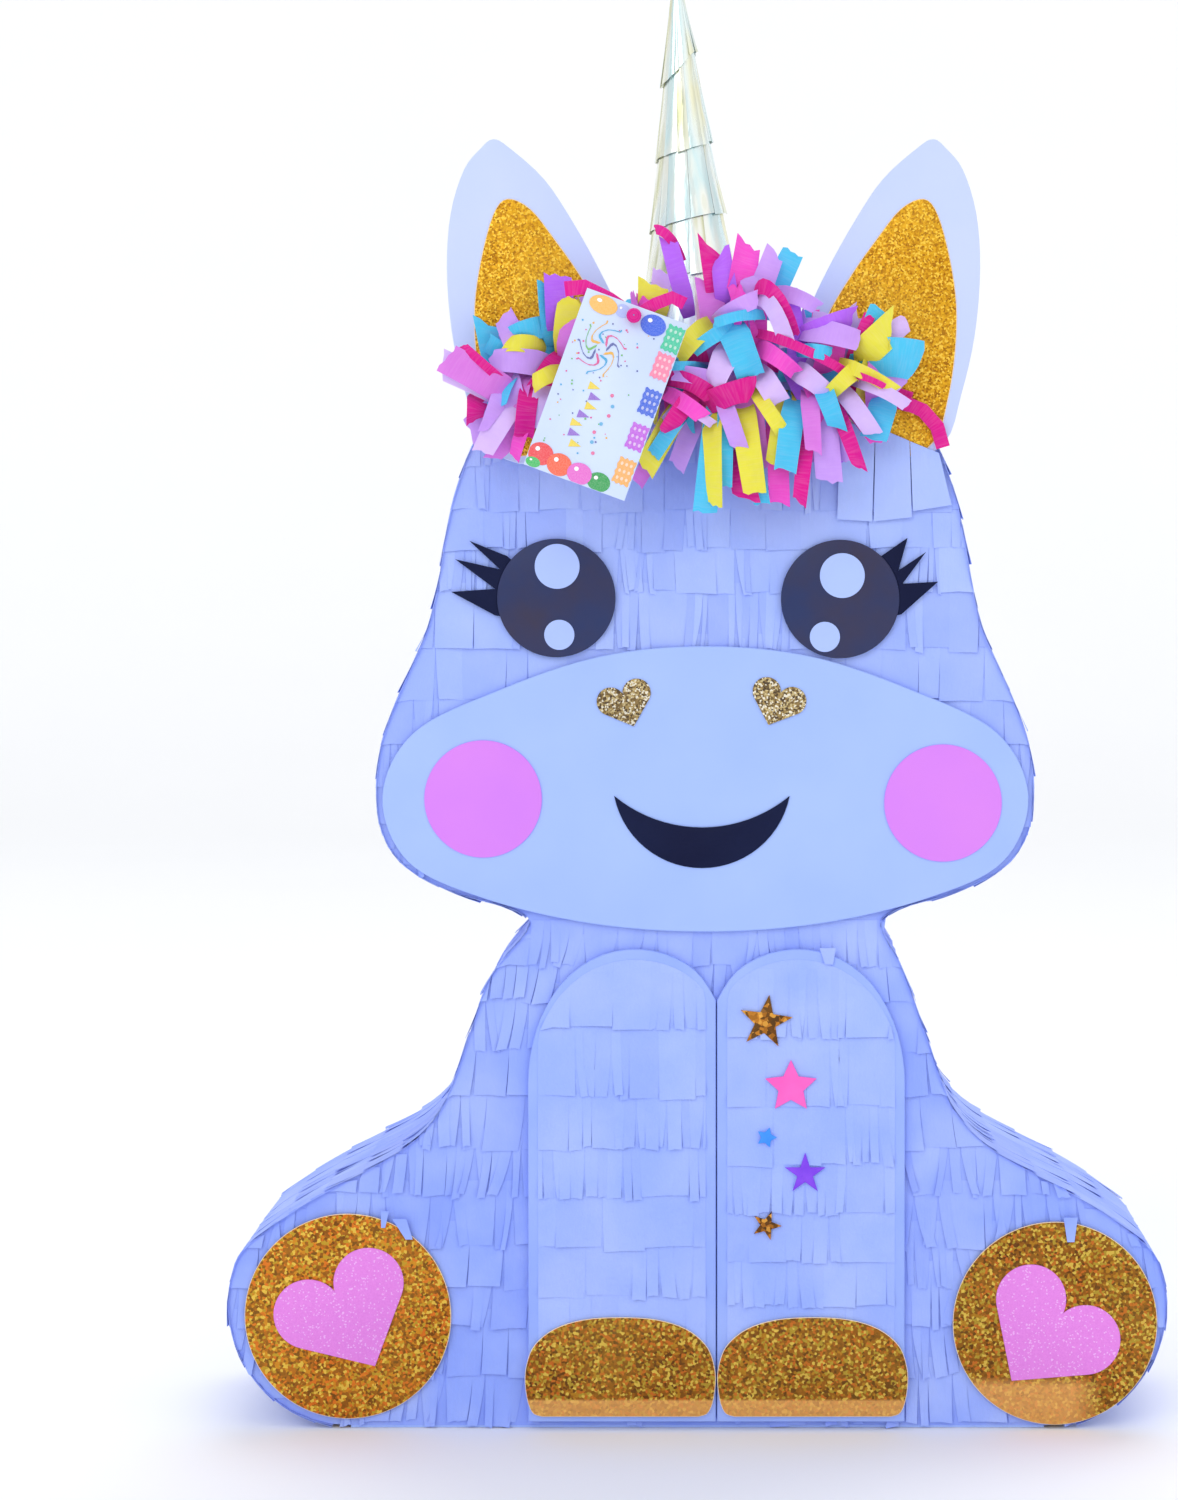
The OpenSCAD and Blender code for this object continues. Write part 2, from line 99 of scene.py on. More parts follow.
class Crepe(Enum):
    """The papers that the mane is cut from."""

    MAGENTA = srgb(228, 26, 142)
    PINK = srgb(252, 82, 204)
    TURQUOISE = srgb(76, 198, 244)
    YELLOW = srgb(240, 230, 70)
    PURPLE = srgb(184, 104, 250)
    LAVENDER = srgb(206, 158, 250)
    LILAC = srgb(222, 190, 255)
    ORCHID = srgb(222, 124, 226)


# ------------------------ materials
class Tree:
    """Shorthand for building one material's nodes."""

    def __init__(self, name: str) -> None:
        """Starts a material with its principled shader and the object's own coordinates.

        Args:
            name: The material's name.
        """
        self.material = bpy.data.materials.new(name)
        self.material.use_nodes = True
        self.nodes = self.material.node_tree.nodes
        self.shader = self.nodes["Principled BSDF"]
        self.place = self.nodes.new("ShaderNodeTexCoord").outputs["Object"]

    def put(self, socket: Socket, value: Value) -> None:
        """Links a socket to another socket, or sets it to a value.

        Args:
            socket: The socket to feed.
            value: What feeds it.
        """
        if isinstance(value, bpy.types.NodeSocket):
            self.material.node_tree.links.new(value, socket)
        else:
            socket.default_value = value

    def add(self, kind: str, settings: Optional[dict] = None, **inputs: Value) -> bpy.types.Node:
        """Adds a node.

        Args:
            kind: The node's type without its ShaderNode prefix.
            settings: Properties to set on the node.
            **inputs: Values or sockets for its inputs, with _ for a space in a name.

        Returns:
            The node.
        """
        node = self.nodes.new("ShaderNode" + kind)
        for key, value in (settings or {}).items():
            setattr(node, key, value)
        for key, value in inputs.items():
            self.put(node.inputs[key.replace("_", " ")], value)
        return node

    def stretched(self, scale: Sequence[float], source: Optional[Socket] = None) -> Socket:
        """Coordinates scaled along each axis."""
        return self.add("Mapping", Vector=source or self.place, Scale=tuple(scale)).outputs["Vector"]

    def noise(self, scale: float, detail: float = 2.0, vector: Optional[Socket] = None) -> Socket:
        """Smooth noise from 0 to 1."""
        return self.add("TexNoise", Vector=vector or self.place, Scale=scale, Detail=detail).outputs["Fac"]

    def ramp(self, fac: Value, stops: Sequence[tuple[float, Colour]], step: bool = False) -> Socket:
        """A colour ramp.

        Args:
            fac: The socket that picks the place on the ramp.
            stops: Pairs of a place from 0 to 1 and a colour.
            step: True for hard steps between the colours.

        Returns:
            The ramp's colour.
        """
        node = self.add("ValToRGB", Fac=fac)
        ramp = node.color_ramp
        ramp.interpolation = "CONSTANT" if step else "LINEAR"
        while len(ramp.elements) < len(stops):
            ramp.elements.new(1.0)
        for element, (place, colour) in zip(ramp.elements, stops):
            element.position, element.color = place, colour
        return node.outputs["Color"]

    def mix(self, fac: Value, first: Value, second: Value) -> Socket:
        """Mixes two colours.

        Args:
            fac: The share of the second colour.
            first: The first colour.
            second: The second colour.

        Returns:
            The mixed colour.
        """
        node = self.add("Mix", {"data_type": "RGBA"})
        for socket, value in zip((node.inputs[0], node.inputs[6], node.inputs[7]), (fac, first, second)):
            self.put(socket, value)
        return node.outputs[2]

    def spread(self, value: Value, low: float, high: float, to_low: Value, to_high: Value) -> Socket:
        """A value mapped from one range to another."""
        return self.add("MapRange", Value=value, From_Min=low, From_Max=high, To_Min=to_low,
                        To_Max=to_high).outputs["Result"]

    def vector(self, operation: str, *operands: Value, **inputs: Value) -> Socket:
        """A sum on vectors.

        Args:
            operation: The sum.
            *operands: What it takes, in order.
            **inputs: Further inputs by name.

        Returns:
            The resulting vector.
        """
        node = self.add("VectorMath", {"operation": operation}, **inputs)
        for socket, operand in zip(node.inputs, operands):
            self.put(socket, operand)
        return node.outputs["Vector"]

    def bump(self, height: Socket, depth: float, strength: float, under: Optional[Socket] = None) -> Socket:
        """Bumps the surface.

        Args:
            height: The height that makes the bumps.
            depth: How far the height reaches, in metres.
            strength: How strongly it shows, from 0 to 1.
            under: A bumped normal to add to, if any.

        Returns:
            The bumped normal.
        """
        node = self.add("Bump", Height=height, Distance=depth, Strength=strength)
        if under is not None:
            self.put(node.inputs["Normal"], under)
        return node.outputs["Normal"]

    def done(self, colour: Value, roughness: Value, normal: Optional[Socket] = None,
             **constants: Value) -> bpy.types.Material:
        """Joins the nodes to the shader.

        Args:
            colour: The base colour.
            roughness: The roughness.
            normal: The bumped normal, if any.
            **constants: Fixed values for other inputs, with _ for a space in a name.

        Returns:
            The material.
        """
        self.put(self.shader.inputs["Base Color"], colour)
        self.put(self.shader.inputs["Roughness"], roughness)
        if normal is not None:
            self.put(self.shader.inputs["Normal"], normal)
        for key, value in constants.items():
            self.shader.inputs[key.replace("_", " ")].default_value = value
        return self.material


@dataclass(frozen=True)
class TissueFinish:
    """Fringed or layered tissue paper: soft, slightly crinkled, a little darker lower down."""

    name: str
    high: Colour
    low: Colour
    low_z: float = 0.10
    high_z: float = 0.42
    crinkle: float = 0.35
    mist: Colour = srgb(192, 208, 255)
    shadow: Colour = srgb(112, 134, 240)

    def make(self) -> bpy.types.Material:
        """Builds the material. Each tab's own shade comes from the attribute called tint.

        Returns:
            The material.
        """
        tree = Tree(self.name)
        height = tree.add("SeparateXYZ", Vector=tree.place).outputs["Z"]
        by_height = tree.mix(tree.spread(height, self.low_z, self.high_z, 0, 1), self.low, self.high)
        cloud = tree.noise(26, 3)
        tint = tree.add("Attribute", {"attribute_name": "tint"}).outputs["Fac"]
        patchy = tree.mix(tree.spread(cloud, 0.35, 0.65, 0, 0.4), by_height, self.mist)
        shade = tree.mix(tree.spread(tint, 0, 1, 0.0, 0.5), patchy, self.shadow)
        fibres = tree.noise(1, 4, tree.stretched((520, 520, 60)))
        folds = tree.noise(75, 4)
        coarse = tree.bump(folds, 2.4 * MM, self.crinkle)
        normal = tree.bump(fibres, 0.5 * MM, self.crinkle, coarse)
        rough = tree.spread(folds, 0.2, 0.8, 0.62, 0.8)
        return tree.done(shade, rough, normal, Sheen_Weight=0.1, Specular_IOR_Level=0.2)


@dataclass(frozen=True)
class CardFinish:
    """Smooth coloured card or tissue glued flat on card."""

    name: str
    colour: Colour
    second: Colour
    roughness: float = 0.55
    mottle: float = 18.0
    coat: float = 0.0
    shine: float = 0.4

    def make(self) -> bpy.types.Material:
        """Builds the material.

        Returns:
            The material.
        """
        tree = Tree(self.name)
        cloud = tree.noise(self.mottle, 3)
        colour = tree.mix(tree.spread(cloud, 0.35, 0.7, 0, 1), self.colour, self.second)
        grain = tree.noise(900, 2)
        wave = tree.noise(14, 1)
        coarse = tree.bump(wave, 2.5 * MM, 0.12)
        normal = tree.bump(grain, 0.15 * MM, 0.12, coarse)
        rough = tree.spread(grain, 0.3, 0.7, self.roughness - 0.05, self.roughness + 0.06)
        return tree.done(colour, rough, normal, Coat_Weight=self.coat, Coat_Roughness=0.2,
                         Specular_IOR_Level=self.shine)


@dataclass(frozen=True)
class GlitterFinish:
    """Grains of glitter or cells of mosaic foil, each tilted its own way. The grains' spread of shades from dark
    to pale is partly the foil's own mix of colours and partly painted glints and painted shade on single grains.
    """

    name: str
    shades: tuple[Colour, ...]
    grain: float
    tilt: float = 0.5
    metallic: float = 0.6
    roughness: float = 0.35
    haze: Colour | None = None
    haze_top: float = 0.0
    haze_end: float = 1.0
    haze_fade: float = 1.2 * MM
    drift: float = 0.2
    most_haze: float = 0.62

    def make(self) -> bpy.types.Material:
        """Builds the material.

        Returns:
            The material.
        """
        tree = Tree(self.name)
        cells = tree.add("TexVoronoi", Vector=tree.place, Scale=1 / self.grain).outputs["Color"]
        pick = tree.add("SeparateColor", Color=cells)
        stops = [(i / len(self.shades), shade) for i, shade in enumerate(self.shades)]
        colour = tree.ramp(pick.outputs["Red"], stops, step=True)
        middle = self.shades[len(self.shades) // 2]
        colour = tree.mix(tree.spread(tree.noise(30, 2), 0.35, 0.7, 0, self.drift), colour, middle)
        if self.haze is not None:
            spot = tree.add("SeparateXYZ", Vector=tree.place).outputs
            edge = tree.spread(spot["Z"], self.haze_top, self.haze_top - self.haze_fade, 0, self.most_haze)
            edge = tree.spread(spot["X"], self.haze_end, self.haze_end + 3 * self.haze_fade, edge, 0)
            colour = tree.mix(edge, colour, self.haze)
        lean = tree.vector("SUBTRACT", cells, (0.5, 0.5, 0.5))
        scaled = tree.vector("SCALE", lean, Scale=self.tilt)
        tipped = tree.vector("ADD", tree.add("NewGeometry").outputs["Normal"], scaled)
        normal = tree.vector("NORMALIZE", tipped)
        rough = tree.spread(pick.outputs["Green"], 0, 1, self.roughness - 0.12, self.roughness + 0.15)
        return tree.done(colour, rough, normal, Metallic=self.metallic, Specular_IOR_Level=0.2)


@dataclass(frozen=True)
class FoilFinish:
    """Pale gold foil whose colour ramp paints the room's reflections: long light streaks, and dark olive where the
    tint attribute is low.
    """

    name: str
    stops: tuple[tuple[float, Colour], ...] = (
        (0.0, srgb(112, 120, 70)), (0.18, srgb(206, 208, 164)), (0.36, srgb(246, 247, 236)),
        (0.55, srgb(214, 238, 238)), (0.74, srgb(235, 244, 240)), (0.9, srgb(240, 238, 205)))

    def make(self) -> bpy.types.Material:
        """Builds the material.

        Returns:
            The material.
        """
        tree = Tree(self.name)
        tint = tree.add("Attribute", {"attribute_name": "tint"}).outputs["Fac"]
        streak = tree.noise(1, 2, tree.stretched((95, 95, 9)))
        both = tree.add("Math", {"operation": "ADD"})
        tree.put(both.inputs[0], tree.spread(streak, 0.32, 0.68, 0, 0.5))
        tree.put(both.inputs[1], tree.spread(tint, 0, 1, 0, 0.5))
        colour = tree.ramp(both.outputs[0], self.stops)
        wrinkle = tree.noise(1, 3, tree.stretched((420, 420, 60)))
        normal = tree.bump(wrinkle, 0.6 * MM, 0.35)
        rough = tree.spread(streak, 0.3, 0.7, 0.16, 0.32)
        return tree.done(colour, rough, normal, Metallic=0.72)


@dataclass(frozen=True)
class CrepeFinish:
    """Crepe paper: fine creases across each strip, in the strip's own colour, with painted highlights along the
    creases and painted shade in the folds.
    """

    name: str
    # Painted highlight: the pale pink that the creases are lightened towards.
    crease_highlight: Colour = srgb(255, 226, 255)
    # Painted shade: the dark purple that the sunk folds are darkened towards.
    deep: Colour = srgb(90, 30, 140)

    def make(self) -> bpy.types.Material:
        """Builds the material. The colour comes from the attribute called paper.

        Returns:
            The material.
        """
        tree = Tree(self.name)
        paper = tree.add("Attribute", {"attribute_name": "paper"}).outputs["Color"]
        flat = tree.add("UVMap", {"uv_map": "strip"}).outputs["UV"]
        creases = tree.noise(1, 3, tree.stretched((90, 1400, 1), flat))
        folds = tree.noise(120, 2)
        # Painted highlight: the creases, which also bump the surface, are lightened a little towards the pale
        # pink.
        crease_highlight = tree.mix(tree.spread(creases, 0.4, 0.75, 0, 0.07), paper, self.crease_highlight)
        # Painted shade: where the folds, which also bump the surface, sink, the colour darkens a little towards
        # the dark purple.
        colour = tree.mix(tree.spread(folds, 0.3, 0.6, 0.06, 0), crease_highlight, self.deep)
        coarse = tree.bump(folds, 1.0 * MM, 0.25)
        normal = tree.bump(creases, 0.3 * MM, 0.22, coarse)
        rough = tree.spread(creases, 0.2, 0.8, 0.6, 0.85)
        return tree.done(colour, rough, normal, Sheen_Weight=0.05, Specular_IOR_Level=0.1,
                         Subsurface_Weight=0.15, Subsurface_Radius=(1.6, 1.2, 1.6), Subsurface_Scale=1 * MM)


@dataclass(frozen=True)
class PrintFinish:
    """Ink printed on the tag, in the colour of each printed shape."""

    name: str

    def make(self) -> bpy.types.Material:
        """Builds the material.

        Returns:
            The material.
        """
        tree = Tree(self.name)
        ink = tree.add("Attribute", {"attribute_name": "paper"}).outputs["Color"]
        dots = tree.noise(1500, 1)
        colour = tree.mix(tree.spread(dots, 0.3, 0.7, 0, 0.12), ink, WHITE)
        rough = tree.spread(dots, 0.3, 0.7, 0.34, 0.42)
        return tree.done(colour, rough, tree.bump(dots, 0.04 * MM, 0.1), Coat_Weight=0.2)


@dataclass(frozen=True)
class BoardFinish:
    """Brown corrugated board: flecks of fibre and faint lines over its flutes."""

    name: str
    colour: Colour = srgb(186, 146, 104)
    fleck: Colour = srgb(128, 94, 60)
    flute: Colour = srgb(214, 178, 134)

    def make(self) -> bpy.types.Material:
        """Builds the material.

        Returns:
            The material.
        """
        tree = Tree(self.name)
        flecks = tree.noise(1, 5, tree.stretched((700, 700, 220)))
        flutes = tree.add("TexWave", {"bands_direction": "X"}, Vector=tree.place, Scale=45, Distortion=0.4)
        dark = tree.mix(tree.spread(flecks, 0.35, 0.8, 0, 0.5), self.colour, self.fleck)
        colour = tree.mix(tree.spread(flutes.outputs["Fac"], 0, 1, 0, 0.14), dark, self.flute)
        coarse = tree.bump(flutes.outputs["Fac"], 0.25 * MM, 0.3)
        normal = tree.bump(flecks, 0.2 * MM, 0.35, coarse)
        rough = tree.spread(flecks, 0, 1, 0.8, 0.95)
        return tree.done(colour, rough, normal)


class Finishes:
    """Every finish of the pinata, each made once."""

    def __init__(self) -> None:
        """Builds the materials."""
        self.tissue = TissueFinish("fringed_tissue", srgb(166, 188, 255), srgb(146, 170, 252)).make()
        self.leg_tissue = TissueFinish(
            "foreleg_tissue", srgb(166, 190, 255), srgb(156, 180, 254), crinkle=0.5).make()
        self.foil = FoilFinish("horn_foil").make()
        self.crepe = CrepeFinish("crepe_mane").make()
        self.print = PrintFinish("tag_print").make()
        self.board = BoardFinish("corrugated_board").make()
        self.papers()
        self.vinyls()
        self.glitters()

    def papers(self) -> None:
        """Builds the plain papers and cards."""
        self.muzzle = CardFinish("smooth_tissue", srgb(164, 190, 254), srgb(170, 195, 254), shine=0.25).make()
        self.foreleg = CardFinish("foreleg_card", srgb(152, 177, 253), srgb(162, 185, 254),
                                  roughness=0.65, mottle=30, shine=0.2).make()
        self.ear = CardFinish("ear_card", srgb(202, 214, 255), srgb(196, 210, 254)).make()
        self.cheek = CardFinish("cheek_card", srgb(220, 132, 240), srgb(214, 128, 243), roughness=0.5).make()
        self.ink = CardFinish("ink_card", srgb(8, 16, 54), srgb(14, 24, 62), shine=0.15).make()
        self.cream = CardFinish("cut_edge", srgb(238, 214, 180), srgb(246, 226, 204), roughness=0.6).make()
        self.tag = CardFinish("tag_card", srgb(206, 222, 255), srgb(214, 228, 255),
                              roughness=0.35, coat=0.2).make()
        self.tape = CardFinish("paper_tape", srgb(226, 208, 168), srgb(216, 196, 156),
                               roughness=0.6, mottle=40).make()
        self.horn_paper = CardFinish("horn_paper", srgb(222, 226, 214), srgb(210, 214, 200),
                                     roughness=0.7).make()

    def vinyls(self) -> None:
        """Builds the stickers' vinyl, foam and smooth foil."""
        self.eye = CardFinish("eye_vinyl", srgb(42, 54, 98), srgb(58, 54, 80),
                              roughness=0.34, mottle=34, coat=0.04, shine=0.2).make()
        self.shine = CardFinish("shine_vinyl", srgb(171, 192, 254), srgb(176, 198, 255),
                                roughness=0.36).make()
        self.pink_foam = CardFinish("pink_foam", srgb(252, 96, 194), srgb(255, 108, 202),
                                    roughness=0.6, mottle=60, shine=0.2).make()
        self.blue_foil = CardFinish("blue_foil", srgb(54, 142, 250), srgb(76, 158, 255),
                                    roughness=0.3, mottle=90, coat=0.1, shine=0.2).make()
        self.purple_foil = CardFinish("purple_foil", srgb(118, 58, 228), srgb(140, 76, 240),
                                      roughness=0.3, mottle=90, coat=0.1, shine=0.2).make()

    def glitters(self) -> None:
        """Builds the glitters and the mosaic foils."""
        self.fine_gold = GlitterFinish(
            "fine_gold_glitter",
            (srgb(168, 108, 8), srgb(212, 152, 20), srgb(232, 172, 30), srgb(252, 204, 70),
             srgb(196, 132, 12), srgb(222, 162, 26)), grain=0.85 * MM, tilt=0.4, metallic=0.3).make()
        self.mosaic = GlitterFinish(
            "mosaic_gold_foil",
            (srgb(116, 66, 10), srgb(156, 90, 16), srgb(204, 132, 28), srgb(176, 98, 18), srgb(226, 186, 70),
             srgb(140, 80, 14), srgb(190, 150, 40), srgb(218, 112, 30)),
            grain=1.25 * MM, tilt=0.45, metallic=0.25, roughness=0.4, drift=0.1).make()
        hoof = GlitterFinish(
            "hoof_gold_foil",
            (srgb(100, 58, 10), srgb(138, 84, 14), srgb(172, 118, 26), srgb(148, 88, 16), srgb(212, 178, 72),
             srgb(126, 76, 12), srgb(172, 142, 44), srgb(192, 102, 30)),
            grain=1.25 * MM, tilt=0.45, metallic=0.25, roughness=0.4,
            haze=srgb(246, 180, 104), haze_top=16 * MM, drift=0.1)
        self.hoof_mosaic = hoof.make()
        self.foot_mosaic = replace(
            hoof, name="foot_gold_foil", haze_top=26 * MM, haze_end=181 * MM, haze_fade=5 * MM).make()
        self.star_gold = GlitterFinish(
            "star_gold",
            (srgb(96, 56, 20), srgb(160, 98, 30), srgb(224, 160, 66), srgb(76, 48, 24), srgb(190, 120, 40)),
            grain=2.0 * MM, tilt=0.6, metallic=0.45).make()
        self.champagne = GlitterFinish(
            "champagne_glitter",
            (srgb(120, 98, 60), srgb(172, 146, 92), srgb(206, 186, 136), srgb(86, 70, 52),
             srgb(244, 236, 214), srgb(150, 124, 78)), grain=0.85 * MM, tilt=0.6, metallic=0.3).make()
        self.heart = GlitterFinish(
            "heart_glitter",
            # The last, pale pink shade is a painted glint on a few grains.
            3 * (srgb(228, 134, 226), srgb(231, 138, 229), srgb(229, 136, 228), srgb(226, 132, 225))
            + (srgb(241, 184, 244),), grain=0.65 * MM, tilt=0.15, metallic=0.0, roughness=0.5).make()


# ------------------------ outlines
class Outline:
    """A closed outline in the X-Z plane, counterclockwise as seen from the front."""

    def __init__(self, points: np.ndarray) -> None:
        """Keeps the points, turned counterclockwise.

        Args:
            points: The corners, in order.
        """
        following = np.roll(points, -1, axis=0)
        area = np.sum(points[:, 0] * following[:, 1] - following[:, 0] * points[:, 1])
        self.points = points if area > 0 else points[::-1]
        self.steps = np.roll(self.points, -1, axis=0) - self.points
        self.low, self.high = self.points.min(0), self.points.max(0)

    def contains(self, spots: np.ndarray) -> np.ndarray:
        """Tells which spots lie inside.

        Args:
            spots: The spots.

        Returns:
            True for each spot that does.
        """
        start, end = self.points, np.roll(self.points, -1, axis=0)
        x, z = spots[:, 0:1], spots[:, 1:2]
        crosses = (start[:, 1] > z) != (end[:, 1] > z)
        rise = np.where(end[:, 1] == start[:, 1], 1e-12, end[:, 1] - start[:, 1])
        at = start[:, 0] + (z - start[:, 1]) * (end[:, 0] - start[:, 0]) / rise
        return (np.sum(crosses & (x < at), axis=1) % 2) == 1

    def nearest(self, spots: np.ndarray) -> np.ndarray:
        """Finds the nearest points of the outline.

        Args:
            spots: The spots to start from.

        Returns:
            The nearest point to each spot.
        """
        length2 = np.maximum(np.sum(self.steps ** 2, axis=1), 1e-18)
        away = spots[:, None, :] - self.points[None]
        share = np.clip(np.sum(away * self.steps[None], axis=2) / length2[None], 0, 1)
        feet = self.points[None] + share[..., None] * self.steps[None]
        best = np.argmin(np.sum((spots[:, None, :] - feet) ** 2, axis=2), axis=1)
        return feet[np.arange(len(spots)), best]

    def dense(self, step: float) -> np.ndarray:
        """Adds points along the outline.

        Args:
            step: The furthest that two points may lie apart.

        Returns:
            All the points.
        """
        spots = []
        for start, along in zip(self.points, self.steps):
            count = max(1, int(np.ceil(np.linalg.norm(along) / step)))
            spots.append(start + np.linspace(0, 1, count, endpoint=False)[:, None] * along)
        return np.concatenate(spots)

    def clipped(self, spots: np.ndarray) -> np.ndarray:
        """The spots, with those outside moved to the outline."""
        inside = self.contains(spots)
        return np.where(inside[:, None], spots, self.nearest(spots))

    def grown(self, distance: float) -> "Outline":
        """Moves the outline outwards.

        Args:
            distance: How far.

        Returns:
            The larger outline.
        """
        ahead, behind = np.roll(self.points, -1, axis=0), np.roll(self.points, 1, axis=0)
        along = ahead - behind
        normal = np.stack([along[:, 1], -along[:, 0]], 1)
        normal /= np.maximum(np.linalg.norm(normal, axis=1, keepdims=True), 1e-12)
        return Outline(self.points + distance * normal)


def face_outlines(node: str, depth: float) -> list[Outline]:
    """The outlines of a CAD node's flat face.

    Args:
        node: The node's name.
        depth: The face's place along Y, in metres.

    Returns:
        Its outlines, the longest first.
    """
    mesh = frame["nodes"][node].data
    mesh.calc_loop_triangles()
    spots = np.array([v.co for v in mesh.vertices])
    keys = [tuple(p) for p in np.round(spots * SNAPS_PER_METRE).astype(int)]
    edges: dict = {}
    for triangle in mesh.loop_triangles:
        corners = list(triangle.vertices)
        if max(abs(spots[c][1] - depth) for c in corners) > FLAT_WITHIN:
            continue
        for a, b in zip(corners, corners[1:] + corners[:1]):
            pair = (keys[a], keys[b])
            edges[pair[::-1] if pair[::-1] in edges else pair] = edges.get(pair[::-1], 0) + 1
    onward: dict = {}
    for (a, b), count in edges.items():
        if count == 1:
            onward.setdefault(a, []).append(b)
            onward.setdefault(b, []).append(a)
    loops = []
    while onward:
        here = next(iter(onward))
        loop = [here]
        while onward.get(here):
            following = onward[here].pop()
            onward[following].remove(here)
            loop.append(following)
            here = following
        onward = {key: value for key, value in onward.items() if value}
        loops.append(Outline(np.array(loop[:-1], float)[:, [0, 2]] / SNAPS_PER_METRE))
    return sorted(loops, key=lambda loop: -len(loop.points) * (loop.high - loop.low).sum())


# ------------------------ pieces
def select_only(piece: bpy.types.Object) -> None:
    """Makes a piece the only selected and the active object.

    Args:
        piece: The piece.
    """
    bpy.ops.object.select_all(action="DESELECT")
    piece.select_set(True)
    bpy.context.view_layer.objects.active = piece


def apply_modifier(piece: bpy.types.Object, kind: str, **settings) -> None:
    """Adds a modifier to a piece and applies it.

    Args:
        piece: The piece.
        kind: The modifier's type.
        **settings: Its settings.
    """
    select_only(piece)
    modifier = piece.modifiers.new(kind.lower(), kind)
    for key, value in settings.items():
        setattr(modifier, key, value)
    bpy.ops.object.modifier_apply(modifier=modifier.name)


def smooth(piece: bpy.types.Object, degrees: float = 40) -> None:
    """Shades a piece smooth except at its sharp edges."""
    select_only(piece)
    bpy.ops.object.shade_smooth_by_angle(angle=math.radians(degrees))


def turn_outwards(piece: bpy.types.Object) -> None:
    """Points the faces of a closed piece outwards.

    Args:
        piece: The piece.
    """
    select_only(piece)
    bpy.ops.object.mode_set(mode="EDIT")
    bpy.ops.mesh.select_all(action="SELECT")
    bpy.ops.mesh.normals_make_consistent(inside=False)
    bpy.ops.object.mode_set(mode="OBJECT")


def place(piece: bpy.types.Object, body: Body, slot: str, nodes: Sequence[str] = ()) -> bpy.types.Object:
    """Hangs a finished piece on its rigid body and hides the CAD nodes that it stands for.

    Args:
        piece: The piece, in place.
        body: The rigid body it moves with.
        slot: The material slot of the record it takes its finish from; not used.
        nodes: The CAD nodes it stands for.

    Returns:
        The piece.
    """
    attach(piece, body.value)
    if nodes:
        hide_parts(*nodes)
    LOG.info("%s: %d faces on %s", piece.name, len(piece.data.polygons), body.value)
    return piece


